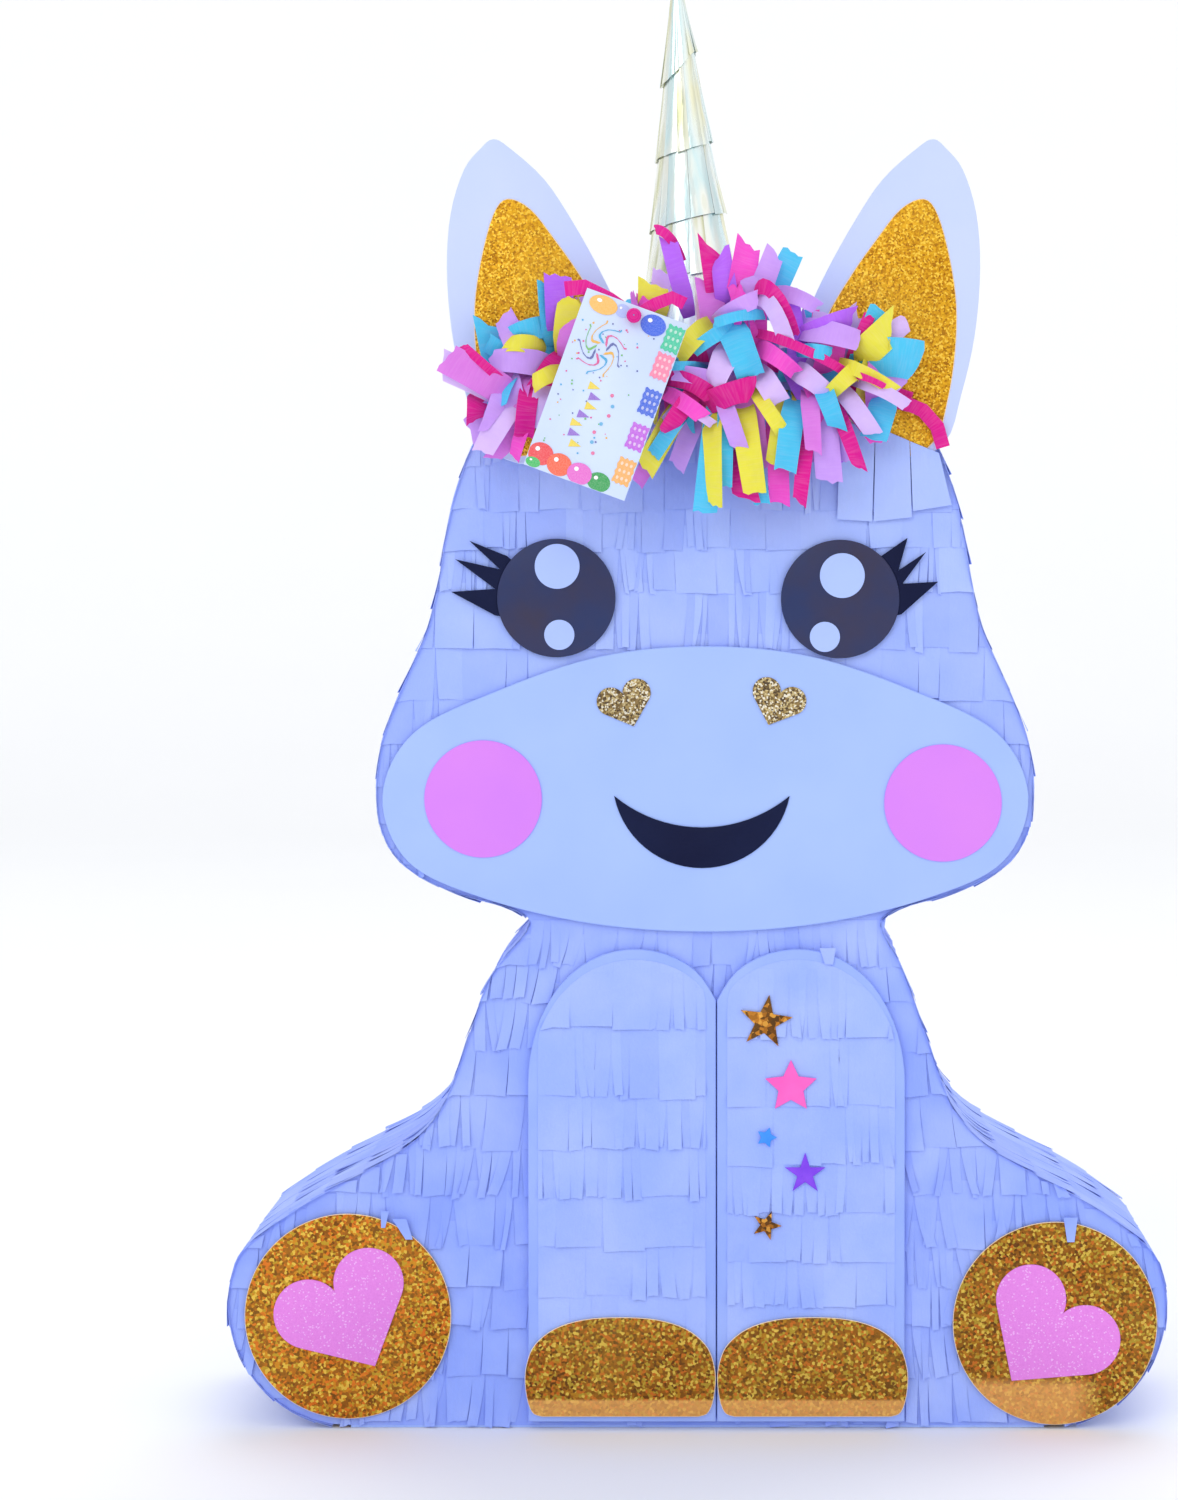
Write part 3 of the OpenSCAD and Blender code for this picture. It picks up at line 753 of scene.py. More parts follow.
class Paper:
    """Collects small curved sheets of paper and makes them one thin closed mesh."""

    def __init__(self, name: str, thickness: float, lowest: Optional[float] = 0.15 * MM) -> None:
        """Starts an empty pile.

        Args:
            name: The name of the pile's object.
            thickness: The thickness of its paper.
            lowest: The lowest that a sheet may reach, if there is a limit.
        """
        self.name, self.thickness, self.lowest = name, thickness, lowest
        self.spots: list[Spot] = []
        self.faces: list[tuple[int, ...]] = []
        self.tints: list[float] = []
        self.papers: list[Colour] = []
        self.flat: list[tuple[float, float]] = []

    def add(self, spots: Sequence[Spot], flat: Sequence[tuple[float, float]], tint: float,
            paper: Colour) -> None:
        """Adds points to the pile.

        Args:
            spots: The points.
            flat: Their places on the flat sheet.
            tint: Their shade, from 0 to 1.
            paper: Their colour.
        """
        self.spots += [tuple(spot) for spot in spots]
        self.flat += flat
        self.tints += [tint] * len(spots)
        self.papers += [paper] * len(spots)

    def grid(self, rows: Sequence[Sequence[Spot]], tint: float = 0.0, paper: Colour = WHITE) -> None:
        """Adds a curved sheet.

        Args:
            rows: Its rows of points, all of the same length.
            tint: Its shade, from 0 to 1.
            paper: Its colour.
        """
        first, wide = len(self.spots), len(rows[0])
        run = 0.0
        for r, row in enumerate(rows):
            if r:
                run += (Vector(row[0]) - Vector(rows[r - 1][0])).length
            across = (Vector(row[-1]) - Vector(row[0])).length
            self.add(row, [(across * c / (wide - 1), run) for c in range(wide)], tint, paper)
        for r in range(len(rows) - 1):
            for c in range(wide - 1):
                a = first + r * wide + c
                self.faces.append((a, a + 1, a + wide + 1, a + wide))

    def band(self, path: Sequence[Vector], half: float, bow: float, tint: float, paper: Colour,
             chance: Optional[random.Random] = None, ragged: float = 0.3 * MM) -> None:
        """Adds a ribbon that follows a path and bows out towards the front.

        Args:
            path: The points it follows.
            half: Half its width.
            bow: How far its middle stands in front of its edges.
            tint: Its shade, from 0 to 1.
            paper: Its colour.
            chance: The random draws that make its edges ragged, if they are.
            ragged: The most that a ragged edge strays.
        """
        rows = []
        for k, spot in enumerate(path):
            ahead = path[min(k + 1, len(path) - 1)] - path[max(k - 1, 0)]
            side = Vector((-ahead.z, 0, ahead.x)).normalized()
            row = []
            for s in (-1, -0.5, 0, 0.5, 1):
                stray = chance.uniform(-ragged, ragged) if chance else 0.0
                row.append(spot + side * (half * s + stray) + Vector((0, -bow * (1 - s * s), 0)))
            rows.append(row)
        self.grid(rows, tint, paper)

    def fan(self, loop: Sequence[Spot], tint: float = 0.0, paper: Colour = WHITE) -> None:
        """Adds a flat sheet inside a loop.

        Args:
            loop: The points round it.
            tint: Its shade, from 0 to 1.
            paper: Its colour.
        """
        first = len(self.spots)
        self.add(loop, [(spot[0], spot[2]) for spot in loop], tint, paper)
        self.faces.append(tuple(range(first, first + len(loop))))

    def build(self, material: bpy.types.Material, degrees: float = 40) -> bpy.types.Object:
        """Makes the object, gives it its thickness and dresses it.

        Args:
            material: Its finish.
            degrees: The least angle of an edge that stays sharp.

        Returns:
            The object.
        """
        low = self.lowest
        spots = self.spots if low is None else [(x, y, max(z, low)) for x, y, z in self.spots]
        mesh = bpy.data.meshes.new(self.name)
        mesh.from_pydata(spots, [], self.faces)
        mesh.attributes.new("tint", "FLOAT", "POINT").data.foreach_set("value", self.tints)
        mesh.attributes.new("paper", "FLOAT_COLOR", "POINT").data.foreach_set(
            "color", np.array(self.papers, np.float32).ravel())
        corners = np.zeros(len(mesh.loops), np.int32)
        mesh.loops.foreach_get("vertex_index", corners)
        mesh.uv_layers.new(name="strip").data.foreach_set(
            "uv", np.array(self.flat, np.float32)[corners].ravel())
        mesh.materials.append(material)
        piece = bpy.data.objects.new(self.name, mesh)
        bpy.context.scene.collection.objects.link(piece)
        apply_modifier(piece, "SOLIDIFY", thickness=self.thickness, offset=0.0)
        turn_outwards(piece)
        smooth(piece, degrees)
        return piece


def softened(node: str, name: str, rounding: float, material: bpy.types.Material,
             edge: Optional[bpy.types.Material] = None) -> bpy.types.Object:
    """A copy of a flat CAD piece with its cut edges rounded over.

    Args:
        node: The CAD node to copy.
        name: The new piece's name.
        rounding: The width of the rounded edge, in metres.
        material: Its finish.
        edge: The finish of the rounded edge, if it has its own.

    Returns:
        The new piece.
    """
    mesh = frame["nodes"][node].data.copy()
    mesh.name = name
    mesh.materials.clear()
    piece = bpy.data.objects.new(name, mesh)
    bpy.context.scene.collection.objects.link(piece)
    mesh.materials.append(material)
    mesh.materials.append(edge or material)
    select_only(piece)
    bpy.ops.object.mode_set(mode="EDIT")
    bpy.ops.mesh.select_all(action="SELECT")
    bpy.ops.mesh.remove_doubles(threshold=2e-6)
    bpy.ops.mesh.dissolve_limited(angle_limit=math.radians(0.5))
    bpy.ops.object.mode_set(mode="OBJECT")
    apply_modifier(piece, "BEVEL", width=rounding, segments=2, limit_method="ANGLE",
                   angle_limit=math.radians(50), material=1 if edge else -1, miter_outer="MITER_SHARP")
    smooth(piece)
    return piece


# ------------------------ fringe
@dataclass(frozen=True)
class FringeRow:
    """How one row of fringe is cut, and how its tabs hang."""

    pitch: float = 24 * MM
    overlap: float = 9 * MM
    rest: float = 0.25 * MM
    lift: float = 1.5 * MM
    narrow: float = 2.2 * MM
    wide: float = 22 * MM
    slit: float = 0.3 * MM
    uneven: float = 1.4 * MM
    narrow_share: float = 0.3
    tilt: float = 0.03
    fan: float = 0.0
    power: float = 2.5
    cut_from: float = 0.35
    shade: float = 0.2
    vary: float = 0.17


HEAD_CUT = FringeRow(lift=1.15 * MM)
BODY_CUT = FringeRow(narrow=3.2 * MM, wide=19 * MM, slit=0.6 * MM, uneven=1.8 * MM,
                     narrow_share=0.36, tilt=0.045, fan=0.17, power=2.2, shade=0.12)
LEG_CUT = FringeRow(pitch=25.5 * MM, rest=0.15 * MM, lift=1.1 * MM, narrow=3.5 * MM, wide=28 * MM,
                    slit=0.2 * MM, uneven=1.3 * MM, narrow_share=0.42, tilt=0.02, power=5.0, cut_from=0.7,
                    shade=0.12, vary=0.07)
EDGE_CUT = FringeRow(lift=1.15 * MM, wide=20 * MM, slit=0.4 * MM, uneven=1.0 * MM, tilt=0.06, power=2.0,
                     narrow_share=0.2, shade=0.35)


class Scissors:
    """Cuts rows of tissue into tabs, the same way each time."""

    def __init__(self, seed: int, cut: FringeRow) -> None:
        """Takes the seed of its own random draws and how the rows are cut."""
        self.chance, self.cut = random.Random(seed), cut

    def widths(self, start: float, end: float) -> list[tuple[float, float]]:
        """Cuts a row into wide tabs with clusters of fine ones.

        Args:
            start: Where the row starts.
            end: Where it ends.

        Returns:
            The two ends of each tab.
        """
        tabs, at = [], start
        while at < end:
            if self.chance.random() < self.cut.narrow_share:
                count = self.chance.randint(2, 5)
                sizes = [self.chance.uniform(self.cut.narrow, 2.2 * self.cut.narrow) for _ in range(count)]
            else:
                sizes = [self.chance.uniform(0.38, 1.0) * self.cut.wide]
            for size in sizes:
                tabs.append((at, min(at + size, end)))
                at += size
                if at >= end:
                    break
        return tabs

    def shape(self, width: float) -> dict[str, float]:
        """Draws the random facts of one tab.

        Args:
            width: The tab's width.

        Returns:
            How it lifts, curls, leans and ends, and its shade.
        """
        chance, cut = self.chance, self.cut
        fine = width < 3 * cut.narrow
        return {
            "lift": cut.lift * chance.uniform(0.25, 1.15) * (1.25 if fine else 1.0),
            "curl": chance.uniform(-0.6, 0.6) * cut.lift,
            "drop": cut.uneven * chance.uniform(-1, 1),
            "slant": cut.uneven * chance.uniform(-0.7, 0.7),
            "lean": chance.gauss(0, cut.tilt) * (1.8 if fine else 0.6),
            "tint": min(1.0, max(0.0, chance.gauss(cut.shade, cut.vary))),
            "notch": chance.uniform(0, 0.5) * MM,
            "slit": cut.slit * chance.uniform(0.25, 1.6) * (1.3 if fine else 1.0),
        }

    def opened(self, t: float) -> float:
        """How far the cut beside a tab has opened at a share of the tab's length."""
        share = min(1.0, max(0.0, (t - self.cut.cut_from) / (1 - self.cut.cut_from)))
        return share * (2 - share)


@dataclass
class Fringe:
    """Rows of tabs over a flat face of the box."""

    name: str
    face_y: float
    outward: int
    seed: int
    cards: list[Outline] = field(default_factory=list)
    card_limit: float = 1.0 * MM
    most_moved: float = 0.9 * MM
    most_raised: float = 2 * MM
    hollow: tuple[float, float] = (200 * MM, 258 * MM)
    least_width: float = 0.8 * MM
    least_length: float = 4 * MM
    least_curve: float = 0.12 * MM
    across: int = 3
    down: int = 6

    def __post_init__(self) -> None:
        """Starts the pile that takes the tabs."""
        self.paper = Paper(self.name, PAPER_THICKNESS)

    def deep(self, height: float) -> float:
        """A place along Y at a height above the face."""
        return self.face_y + self.outward * height

    def rows(self, cut: FringeRow, region: Outline, edges: Sequence[float], ceiling: float) -> None:
        """Hangs the rows.

        Args:
            cut: How they are cut.
            region: What the rows cover.
            edges: The height of each row's lower edge, from the lowest up.
            ceiling: The highest that a tab's top may reach.
        """
        scissors = Scissors(self.seed, cut)
        dense = region.dense(3 * MM)
        for edge in edges:
            top = min(edge + cut.pitch + cut.overlap, ceiling)
            band = dense[(dense[:, 1] > edge - 2 * MM) & (dense[:, 1] < top + 2 * MM)]
            if not len(band) or top - edge < 5 * MM:
                continue
            left, right = band[:, 0].min(), band[:, 0].max()
            for start, end in scissors.widths(left - 2 * MM, right + 2 * MM):
                facts = scissors.shape(end - start)
                facts["lean"] += cut.fan * ((start + end) - (left + right)) / max(right - left, 1 * MM) / 2
                self.tab(scissors, region, start, end, edge + facts["drop"], top, facts)

    def tab(self, scissors: Scissors, region: Outline, start: float, end: float, low: float, top: float,
            facts: dict[str, float]) -> None:
        """Adds one tab, trimmed to the region and pressed down under the cards.

        Args:
            scissors: What cut it.
            region: What the fringe covers.
            start: Its left side.
            end: Its right side.
            low: The height of its lower end.
            top: The height of its upper end.
            facts: How it lifts, curls, leans and ends.
        """
        cut, flat, heights = scissors.cut, [], []
        for r in range(self.down):
            t = r / (self.down - 1)
            slit = min(facts["slit"] * scissors.opened(t), (end - start) * 0.3)
            for c in range(self.across):
                s = c / (self.across - 1)
                z = top + (low + facts["slant"] * (s - 0.5) - top) * t
                x = start + slit / 2 + (end - start - slit) * s + facts["lean"] * (top - z) * t
                if r == self.down - 1 and 0 < c < self.across - 1:
                    z += facts["notch"]
                flat.append((x, z))
                bend = facts["lift"] * t ** cut.power + facts["curl"] * t ** (cut.power + 1) * (2 * s - 1)
                heights.append(cut.rest + max(bend, self.least_curve * t))
        trimmed, kept = self.trimmed(np.array(flat), region)
        if len(kept) < 2:
            return
        spots = trimmed.reshape(self.down, self.across, 2)[kept].reshape(-1, 2)
        if np.ptp(spots[:, 0]) < self.least_width or np.ptp(spots[:, 1]) < self.least_length:
            return
        lifted = np.array(heights).reshape(self.down, self.across)[kept].ravel()
        for card in self.cards:
            if (spots.min(0) > card.high).any() or (spots.max(0) < card.low).any():
                continue
            lifted = np.where(card.contains(spots), np.minimum(lifted, self.card_limit), lifted)
        rows = [[(spots[r * self.across + c][0], self.deep(lifted[r * self.across + c]),
                  spots[r * self.across + c][1]) for c in range(self.across)] for r in range(len(kept))]
        self.paper.grid(rows, facts["tint"])

    def trimmed(self, spots: np.ndarray, region: Outline) -> tuple[np.ndarray, list[int]]:
        """Trims a tab to the region.

        A row of points goes if trimming moves all of it far, or pushes any of it up out of the neck's hollow.

        Args:
            spots: The tab's points, row by row.
            region: What the fringe covers.

        Returns:
            The trimmed points, and the rows of them that stay.
        """
        trimmed = region.clipped(spots)
        moved = np.linalg.norm(trimmed - spots, axis=1).reshape(self.down, self.across).min(axis=1)
        hollow = (spots[:, 1] > self.hollow[0]) & (spots[:, 1] < self.hollow[1])
        raised = hollow & (trimmed[:, 1] > spots[:, 1] + self.most_raised)
        pushed_up = raised.reshape(self.down, self.across).any(axis=1)
        return trimmed, self.longest((moved < self.most_moved) & ~pushed_up)

    @staticmethod
    def longest(good: np.ndarray) -> list[int]:
        """Finds the longest unbroken run of true values.

        Args:
            good: The values.

        Returns:
            The run's places.
        """
        best: list[int] = []
        run: list[int] = []
        for index, fine in enumerate(good):
            run = run + [index] if fine else []
            best = run if len(run) > len(best) else best
        return best

    def skin(self, loops: Sequence[Outline], tint: float = 0.4, height: float = 0.1 * MM) -> None:
        """Adds the plain layer that shows through the slits, tinted darker as painted shade in the gaps between
        the tabs.
        """
        for loop in loops:
            self.paper.fan([(x, self.deep(height), z) for x, z in loop.points], tint)


@dataclass
class Box:
    """The shell's own sizes, read from the frame."""

    front: Outline = field(init=False)
    back: Outline = field(init=False)
    flap: Outline = field(init=False)
    face_y: float = field(init=False)
    skin_y: float = field(init=False)

    def __post_init__(self) -> None:
        """Reads the outlines and the depths."""
        self.face_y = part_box("front_panel")[0].y
        self.skin_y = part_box("front_tissue")[0].y
        self.front = face_outlines("front_tissue", self.skin_y)[0]
        self.back = face_outlines("back_tissue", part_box("back_tissue")[1].y)[0]
        self.flap = face_outlines("flap_tissue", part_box("flap_tissue")[1].y)[0]


@dataclass
class FlatFringes:
    """The fringe of the front, the back, the filling flap and the forelegs.

    The rows' lower edges and the steps between the rows round the flap are in millimetres, and so are the
    stray tabs and the corners of the tabs over the ear.
    """

    box: Box
    finishes: Finishes
    body_edges: tuple[float, ...] = (2, 26, 50, 70, 90, 116, 139, 165, 188, 212, 230)
    head_edges: tuple[float, ...] = (254, 274, 298, 318, 338, 360, 385, 413, 434, 453, 476, 499, 522)
    leg_edges: dict[str, tuple[float, ...]] = field(default_factory=lambda: {
        "left": (16, 41, 66, 90, 115, 140, 165, 199), "right": (12, 37, 62, 84, 107, 132, 161, 194)})
    seeds: dict[str, int] = field(default_factory=lambda: {
        "front": 11, "back": 23, "flap": 37, "left": 41, "right": 43})
    stars: dict[str, tuple[str, ...]] = field(default_factory=lambda: {
        "left": (), "right": ("star_gold_large", "star_pink", "star_blue", "star_purple", "star_gold_small")})
    cards: tuple[str, ...] = (
        "muzzle", "eye_left", "eye_right", "lashes_left", "lashes_right", "foot_pad_left", "foot_pad_right",
        "ear_left", "ear_right", "foreleg_left", "foreleg_right")
    neck_z: float = 252 * MM
    clear_of_flap: float = 30
    step_above: float = 22
    step_beside: float = 23.3
    step_on_flap: float = 23
    ear_slope: float = 14 * MM
    ear_tabs: tuple[tuple[Spot, ...], ...] = (
        ((66, 496), (82.8, 494.5), (64.5, 449), (81.6, 448)),
        ((83.1, 494.3), (99.6, 487.2), (82.4, 448), (101, 450)),
        ((99.9, 487), (114, 481.3), (101.6, 453), (120.5, 456)),
    )
    stray_tabs: tuple[tuple[str, Spot, float, float, float], ...] = (
        ("foot_pad_left", (-151, 101), 7, 10, 0.5), ("foot_pad_left", (-158, 105.5), 4, 8, -0.1),
        ("foot_pad_right", (180, 101), 7, 12, 0.0), ("foreleg_right", (60, 236), 8, 8, 0.08),
    )

    def build(self) -> None:
        """Builds all four sorts and hangs them on their bodies."""
        self.front()
        self.back()
        self.flap()
        for side in SIDES:
            self.foreleg(side)

    @staticmethod
    def covers(cards: Sequence[str], margin: float) -> list[Outline]:
        """The outlines of cards, a little larger, under which tabs are pressed down."""
        return [face_outlines(card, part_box(card)[1].y)[0].grown(margin) for card in cards]

    def front(self) -> None:
        """The front: rows behind the muzzle, eyes, ears and forelegs, and stray tabs over the cards."""
        fringe = Fringe("front_fringe", self.box.face_y, outward=-1, seed=self.seeds["front"],
                        cards=self.covers(self.cards, 1.2 * MM), card_limit=1.75 * MM)
        fringe.skin([self.box.front])
        region = self.box.front.grown(0.8 * MM)
        fringe.rows(BODY_CUT, region, [e * MM for e in self.body_edges], self.neck_z)
        fringe.rows(HEAD_CUT, region, [e * MM for e in self.head_edges], self.box.front.high[1])
        for card, (x, z), width, length, lean in self.stray_tabs:
            hung = Vector((x * MM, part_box(card)[0].y, z * MM))
            self.stray(fringe.paper, hung, width * MM, length * MM, lean)
        self.over_ear(fringe.paper)
        place(fringe.paper.build(self.finishes.tissue), Body.SHELL, "fringed_tissue", ["front_tissue"])

    def over_ear(self, paper: Paper) -> None:
        """Adds the last tabs of the top row, which lie over the right ear's foot.

        Args:
            paper: Their pile of paper.
        """
        ear_y, ear_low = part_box("inner_ear_right")[0].y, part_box("ear_right")[0].z
        for k, corners in enumerate(self.ear_tabs):
            top_left, top_right, low_left, low_right = (np.array(corner) * MM for corner in corners)
            rows = []
            for t in np.linspace(0, 1, 8):
                row = []
                for s in (0.0, 0.35, 0.7, 1.0):
                    top = top_left + (top_right - top_left) * s
                    x, z = top + (low_left + (low_right - low_left) * s - top) * t
                    back = min(1.0, max(0.0, (ear_low - z) / self.ear_slope))
                    lifted = (0.4 + 0.1 * k + 0.3 * t * t * s) * MM
                    row.append((x, ear_y + (self.box.skin_y - ear_y) * back - lifted, z))
                rows.append(row)
            paper.grid(rows, 0.05 * (k % 2))

    @staticmethod
    def stray(paper: Paper, hung: Vector, width: float, length: float, lean: float) -> None:
        """Adds a narrow tab that came loose and lies over the edge of a card.

        Args:
            paper: Its pile of paper.
            hung: The middle of the card's edge under it.
            width: Its width at the top.
            length: Its length.
            lean: How far it leans to the right for each unit down.
        """
        above, taper = 0.35, 0.5
        close, clear, most_out = 0.25 * MM, 0.35 * MM, 0.9 * MM
        rows = []
        for t in np.linspace(0, 1, 6):
            out = clear + most_out * t * t if t > above else close
            half = width / 2 * (1 - taper * t)
            middle = hung + Vector((lean * length * t, -out, (above - t) * length))
            rows.append([middle + Vector((s * half, 0, 0)) for s in (-1, 0, 1)])
        paper.grid(rows, 0.1)

    def back(self) -> None:
        """The back: rows that part round the filling flap."""
        opening = Outline(self.box.flap.points).grown(0.8 * MM)
        fringe = Fringe("back_fringe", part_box("back_panel")[1].y, outward=1, seed=self.seeds["back"])
        low, high = opening.low, opening.high
        regions = self.around(self.box.back, low, high)
        fringe.skin(regions)
        for cut, names in ((BODY_CUT, self.body_edges), (HEAD_CUT, self.head_edges)):
            below = [e * MM for e in names if e * MM < low[1] - self.clear_of_flap * MM]
            if cut is HEAD_CUT:
                below.append(low[1] - HEAD_CUT.pitch)
            fringe.rows(cut, regions[0], below, low[1] if cut is HEAD_CUT else self.neck_z)
        above = [high[1] + 0.5 * MM + k * self.step_above * MM for k in range(4)]
        fringe.rows(HEAD_CUT, regions[1], above, self.box.back.high[1])
        beside = [low[1] + k * self.step_beside * MM for k in range(3)]
        for region in regions[2:]:
            fringe.rows(HEAD_CUT, region, beside, high[1])
        place(fringe.paper.build(self.finishes.tissue), Body.SHELL, "fringed_tissue", ["back_tissue"])

    def around(self, outer: Outline, low: np.ndarray, high: np.ndarray) -> list[Outline]:
        """Parts the back face round the opening.

        Args:
            outer: The back face.
            low: The opening's lower left corner.
            high: The opening's upper right corner.

        Returns:
            What lies below, above, left and right of the opening.
        """
        left, right = outer.low[0] - 1 * MM, outer.high[0] + 1 * MM
        floor, ceiling = outer.low[1] - 1 * MM, outer.high[1] + 1 * MM
        frames = [
            (left, floor, right, low[1]), (left, high[1], right, ceiling),
            (left, low[1], low[0], high[1]), (high[0], low[1], right, high[1]),
        ]
        return [self.cropped(outer, box) for box in frames]

    @staticmethod
    def cropped(outer: Outline, window: tuple[float, float, float, float]) -> Outline:
        """Cuts an outline to a window, side by side.

        Args:
            outer: The outline.
            window: The window's left, lower, right and upper sides.

        Returns:
            What lies inside the window.
        """
        points = [tuple(p) for p in outer.points]
        x0, z0, x1, z1 = window
        for axis, limit, keep in ((0, x0, 1), (0, x1, -1), (1, z0, 1), (1, z1, -1)):
            cut: list = []
            for a, b in zip(points, points[1:] + points[:1]):
                inside_a, inside_b = keep * (a[axis] - limit) >= 0, keep * (b[axis] - limit) >= 0
                if inside_a:
                    cut.append(a)
                if inside_a != inside_b:
                    share = (limit - a[axis]) / (b[axis] - a[axis])
                    cut.append(tuple(a[k] + share * (b[k] - a[k]) for k in (0, 1)))
            points = cut
        return Outline(np.array(points))

    def flap(self) -> None:
        """The flap's own rows, which swing with it."""
        fringe = Fringe("flap_fringe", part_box("fill_flap")[1].y, outward=1, seed=self.seeds["flap"])
        fringe.skin([self.box.flap])
        low, high = self.box.flap.low[1], self.box.flap.high[1]
        edges = [low + 0.4 * MM + k * self.step_on_flap * MM for k in range(3)]
        fringe.rows(HEAD_CUT, self.box.flap, edges, high)
        place(fringe.paper.build(self.finishes.tissue), Body.FLAP, "fringed_tissue", ["flap_tissue"])

    def foreleg(self, side: str) -> None:
        """Builds the pale, flat rows inside a foreleg's smooth border.

        Args:
            side: The side of the foreleg.
        """
        node = "foreleg_tissue_" + side
        region = face_outlines(node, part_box(node)[0].y)[0]
        covers = self.covers(("hoof_" + side, *self.stars[side]), 0.8 * MM)
        fringe = Fringe("foreleg_fringe_" + side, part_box("foreleg_" + side)[0].y, outward=-1,
                        seed=self.seeds[side], cards=covers, card_limit=0.8 * MM)
        fringe.skin([region], 0.15)
        fringe.rows(LEG_CUT, region, [e * MM for e in self.leg_edges[side]], region.high[1])
        place(fringe.paper.build(self.finishes.leg_tissue), Body.SHELL, "fringed_tissue", [node])


@dataclass
class Profile:
    """One side of the box's profile: even points down it, and their outward normals."""

    line: np.ndarray
    normals: np.ndarray

    def spot(self, index: float, y: float, height: float) -> tuple[float, float, float]:
        """A point over the band.

        Args:
            index: Its place down the profile, counted in points.
            y: Its place along Y.
            height: Its height above the band.

        Returns:
            The point.
        """
        at = min(max(index, 0), len(self.line) - 1.001)
        k, share = int(at), at - int(at)
        p = self.line[k] * (1 - share) + self.line[k + 1] * share
        n = self.normals[k] * (1 - share) + self.normals[k + 1] * share
        return (p[0] + n[0] * height, y, p[1] + n[1] * height)


